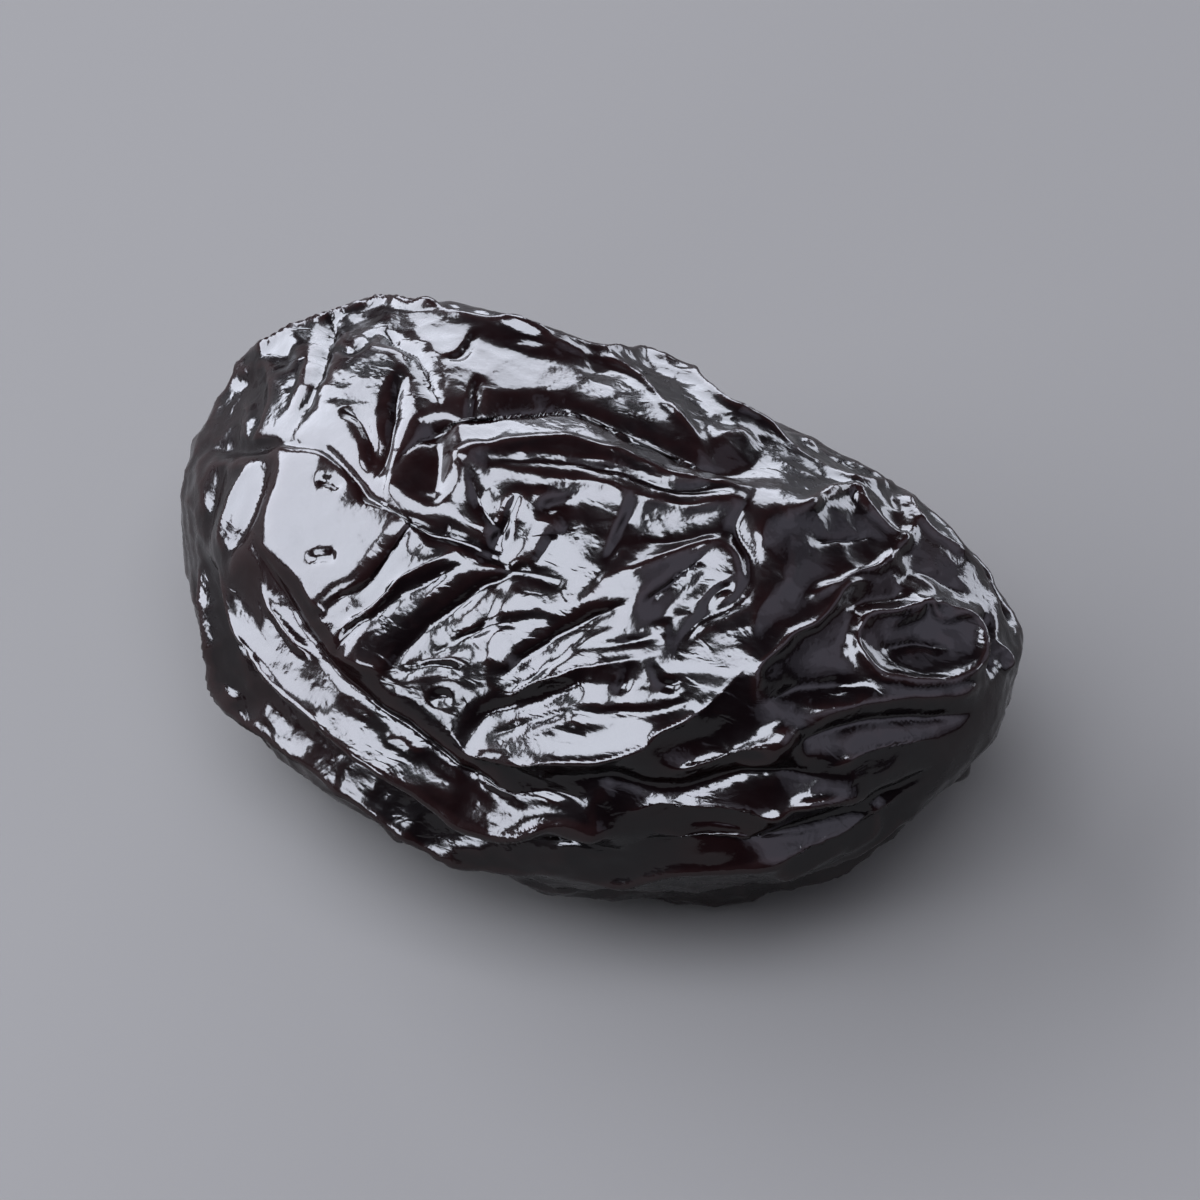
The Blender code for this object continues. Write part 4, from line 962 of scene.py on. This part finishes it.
class Graph:
    """Short ways to add nodes to a material and join them."""

    def __init__(self, material):
        material.use_nodes = True
        self.nodes, self.links = material.node_tree.nodes, material.node_tree.links

    def add(self, kind, settings=(), **inputs):
        """A node with some properties set, and inputs given as values or as other nodes' outputs."""
        node = self.nodes.new(kind)
        for name, value in dict(settings).items():
            setattr(node, name, value)
        for name, value in inputs.items():
            self.feed(node, name.replace("_", " "), value)
        return node

    def feed(self, node, name, value):
        socket = node.inputs[int(name[1:])] if name[0] == "i" and name[1:].isdigit() else node.inputs[name]
        if isinstance(value, bpy.types.NodeSocket):
            self.links.new(value, socket)
        else:
            socket.default_value = value

    def span(self, value, low, high, start=0.0, end=1.0):
        """The value stretched from low..high to start..end."""
        node = self.add("ShaderNodeMapRange", From_Min=low, From_Max=high, To_Min=start, To_Max=end)
        self.feed(node, "Value", value)
        return node.outputs["Result"]

    def noise(self, place, scale, detail=2.0, distortion=0.0):
        return self.add(
            "ShaderNodeTexNoise", Vector=place, Scale=scale, Detail=detail, Distortion=distortion
        ).outputs["Fac"]

    def blend(self, share, one, other):
        node = self.add("ShaderNodeMix", {"data_type": "RGBA"}, i0=share, i6=one, i7=other)
        return node.outputs[2]

    def bump(self, height, depth, normal=None):
        node = self.add("ShaderNodeBump", Strength=1.0, Distance=depth, Height=height)
        if normal is not None:
            self.feed(node, "Normal", normal)
        return node.outputs["Normal"]


def skin_material():
    """Dark wet-looking skin: a soft gloss, a sharp coat, ruddy patches, ridges painted lighter as painted light with
    some bloom, and pores and fine grain.
    """
    material = bpy.data.materials.new("prune_skin")
    graph = Graph(material)
    shader = graph.nodes["Principled BSDF"]
    place = graph.add("ShaderNodeTexCoord").outputs["Object"]
    relief = graph.add("ShaderNodeAttribute", {"attribute_name": "relief"}).outputs["Fac"]
    graph.feed(shader, "IOR", SKIN_IOR)
    graph.feed(shader, "Specular IOR Level", SKIN_GLOSS)
    graph.feed(shader, "Coat Weight", COAT_WEIGHT)
    graph.feed(shader, "Coat IOR", COAT_IOR)
    graph.feed(shader, "Coat Roughness", COAT_ROUGHNESS)

    patches = graph.span(graph.noise(place, 160.0, 3.0), 0.45, 0.75)
    flesh = graph.blend(patches, FLESH_COLOUR, RUDDY_COLOUR)
    # Painted light and shade: the colour turns lighter where the skin's relief stands high, with some bloom, and
    # stays dark in the hollows.
    colour = graph.blend(graph.span(relief, 0.15, 0.9), flesh, RIDGE_BLOOM_AND_LIGHT_COLOUR)
    graph.feed(shader, "Base Color", colour)
    dullness = graph.noise(place, 1100.0, 3.0)
    graph.feed(shader, "Roughness", graph.span(dullness, 0.3, 0.7, *SKIN_ROUGHNESS))

    wrinkles = graph.noise(place, WRINKLE_SCALE, 3.0, 0.6)
    drawn_out = graph.add("ShaderNodeMapping", Vector=place, Scale=(0.5, 1.0, 1.0)).outputs["Vector"]
    fold = graph.span(graph.noise(drawn_out, CRINKLE_SCALE, 2.0, 0.8), 0.5, 0.62)
    calm = graph.span(graph.noise(place, 150.0, 1.0), 0.62, 0.42)
    crinkles = graph.add("ShaderNodeMath", {"operation": "MULTIPLY"}, i0=fold, i1=calm).outputs["Value"]
    pores = graph.add("ShaderNodeTexVoronoi", Vector=place, Scale=PORE_SCALE).outputs["Distance"]
    pits = graph.span(pores, 0.0, 0.35)
    grain = graph.noise(place, GRAIN_SCALE, 2.0)
    normal = graph.bump(wrinkles, WRINKLE_HEIGHT)
    normal = graph.bump(crinkles, CRINKLE_HEIGHT, normal)
    normal = graph.bump(pits, PORE_HEIGHT, normal)
    normal = graph.bump(grain, GRAIN_HEIGHT, normal)
    graph.feed(shader, "Normal", normal)
    graph.feed(shader, "Coat Normal", normal)
    return material


def studio_floor():
    size = 2.0
    mesh = bpy.data.meshes.new("studio_floor")
    half = size / 2
    mesh.from_pydata([(-half, -half, 0), (half, -half, 0), (half, half, 0), (-half, half, 0)], [], [(0, 1, 2, 3)])
    floor = bpy.data.objects.new("studio_floor", mesh)
    bpy.context.scene.collection.objects.link(floor)
    material = bpy.data.materials.new("studio_floor")
    material.use_nodes = True
    shader = material.node_tree.nodes["Principled BSDF"]
    shader.inputs["Base Color"].default_value = (0.0790, 0.0765, 0.0735, 1.0)
    shader.inputs["Roughness"].default_value = 0.9
    shader.inputs["Specular IOR Level"].default_value = 0.0
    mesh.materials.append(material)




def add_panels(target):
    for number, panel in enumerate(WINDOW + FAR_SIDE):
        away = bearing_vector(panel.azimuth, panel.elevation)
        light = bpy.data.lights.new(f"panel_{number}", "AREA")
        light.shape = "RECTANGLE"
        light.size = 2 * PANEL_DISTANCE * math.tan(math.radians(panel.half_width))
        light.size_y = 2 * PANEL_DISTANCE * math.tan(math.radians(panel.half_height))
        light.energy = panel.radiance * math.pi * light.size * light.size_y
        light.color = panel.colour
        lamp = bpy.data.objects.new(light.name, light)
        lamp.location = target + away * PANEL_DISTANCE
        lamp.rotation_euler = away.to_track_quat("Z", "Y").to_euler()
        lamp.visible_camera = False
        bpy.context.scene.collection.objects.link(lamp)


def add_room():
    world = bpy.data.worlds.new("room")
    world.use_nodes = True
    world.node_tree.nodes["Background"].inputs["Color"].default_value = (*ROOM_GLOW, 1.0)
    bpy.context.scene.world = world


CAMERA_DISTANCE = 0.40
FRAME_WIDTH = 0.0555


def add_camera(target):
    data = bpy.data.cameras.new("camera")
    data.lens = data.sensor_width * CAMERA_DISTANCE / FRAME_WIDTH
    data.clip_start = 0.01
    camera = bpy.data.objects.new("camera", data)
    away = bearing_vector(SEEN_AZIMUTH, SEEN_ELEVATION)
    camera.location = target + away * CAMERA_DISTANCE
    camera.rotation_euler = away.to_track_quat("Z", "Y").to_euler()
    bpy.context.scene.collection.objects.link(camera)
    bpy.context.scene.camera = camera


def main():
    skin = make_skin()
    skin.data.materials.append(skin_material())
    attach(skin, "root")
    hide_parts("prune")
    studio_floor()
    low, high = (Vector(corner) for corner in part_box("prune"))
    add_panels((low + high) / 2)
    add_room()
    spots = np.array([vertex.co for vertex in skin.data.vertices])
    add_camera(Vector(seen_middle(spots)))
    bpy.context.scene.view_settings.view_transform = "Standard"


main()
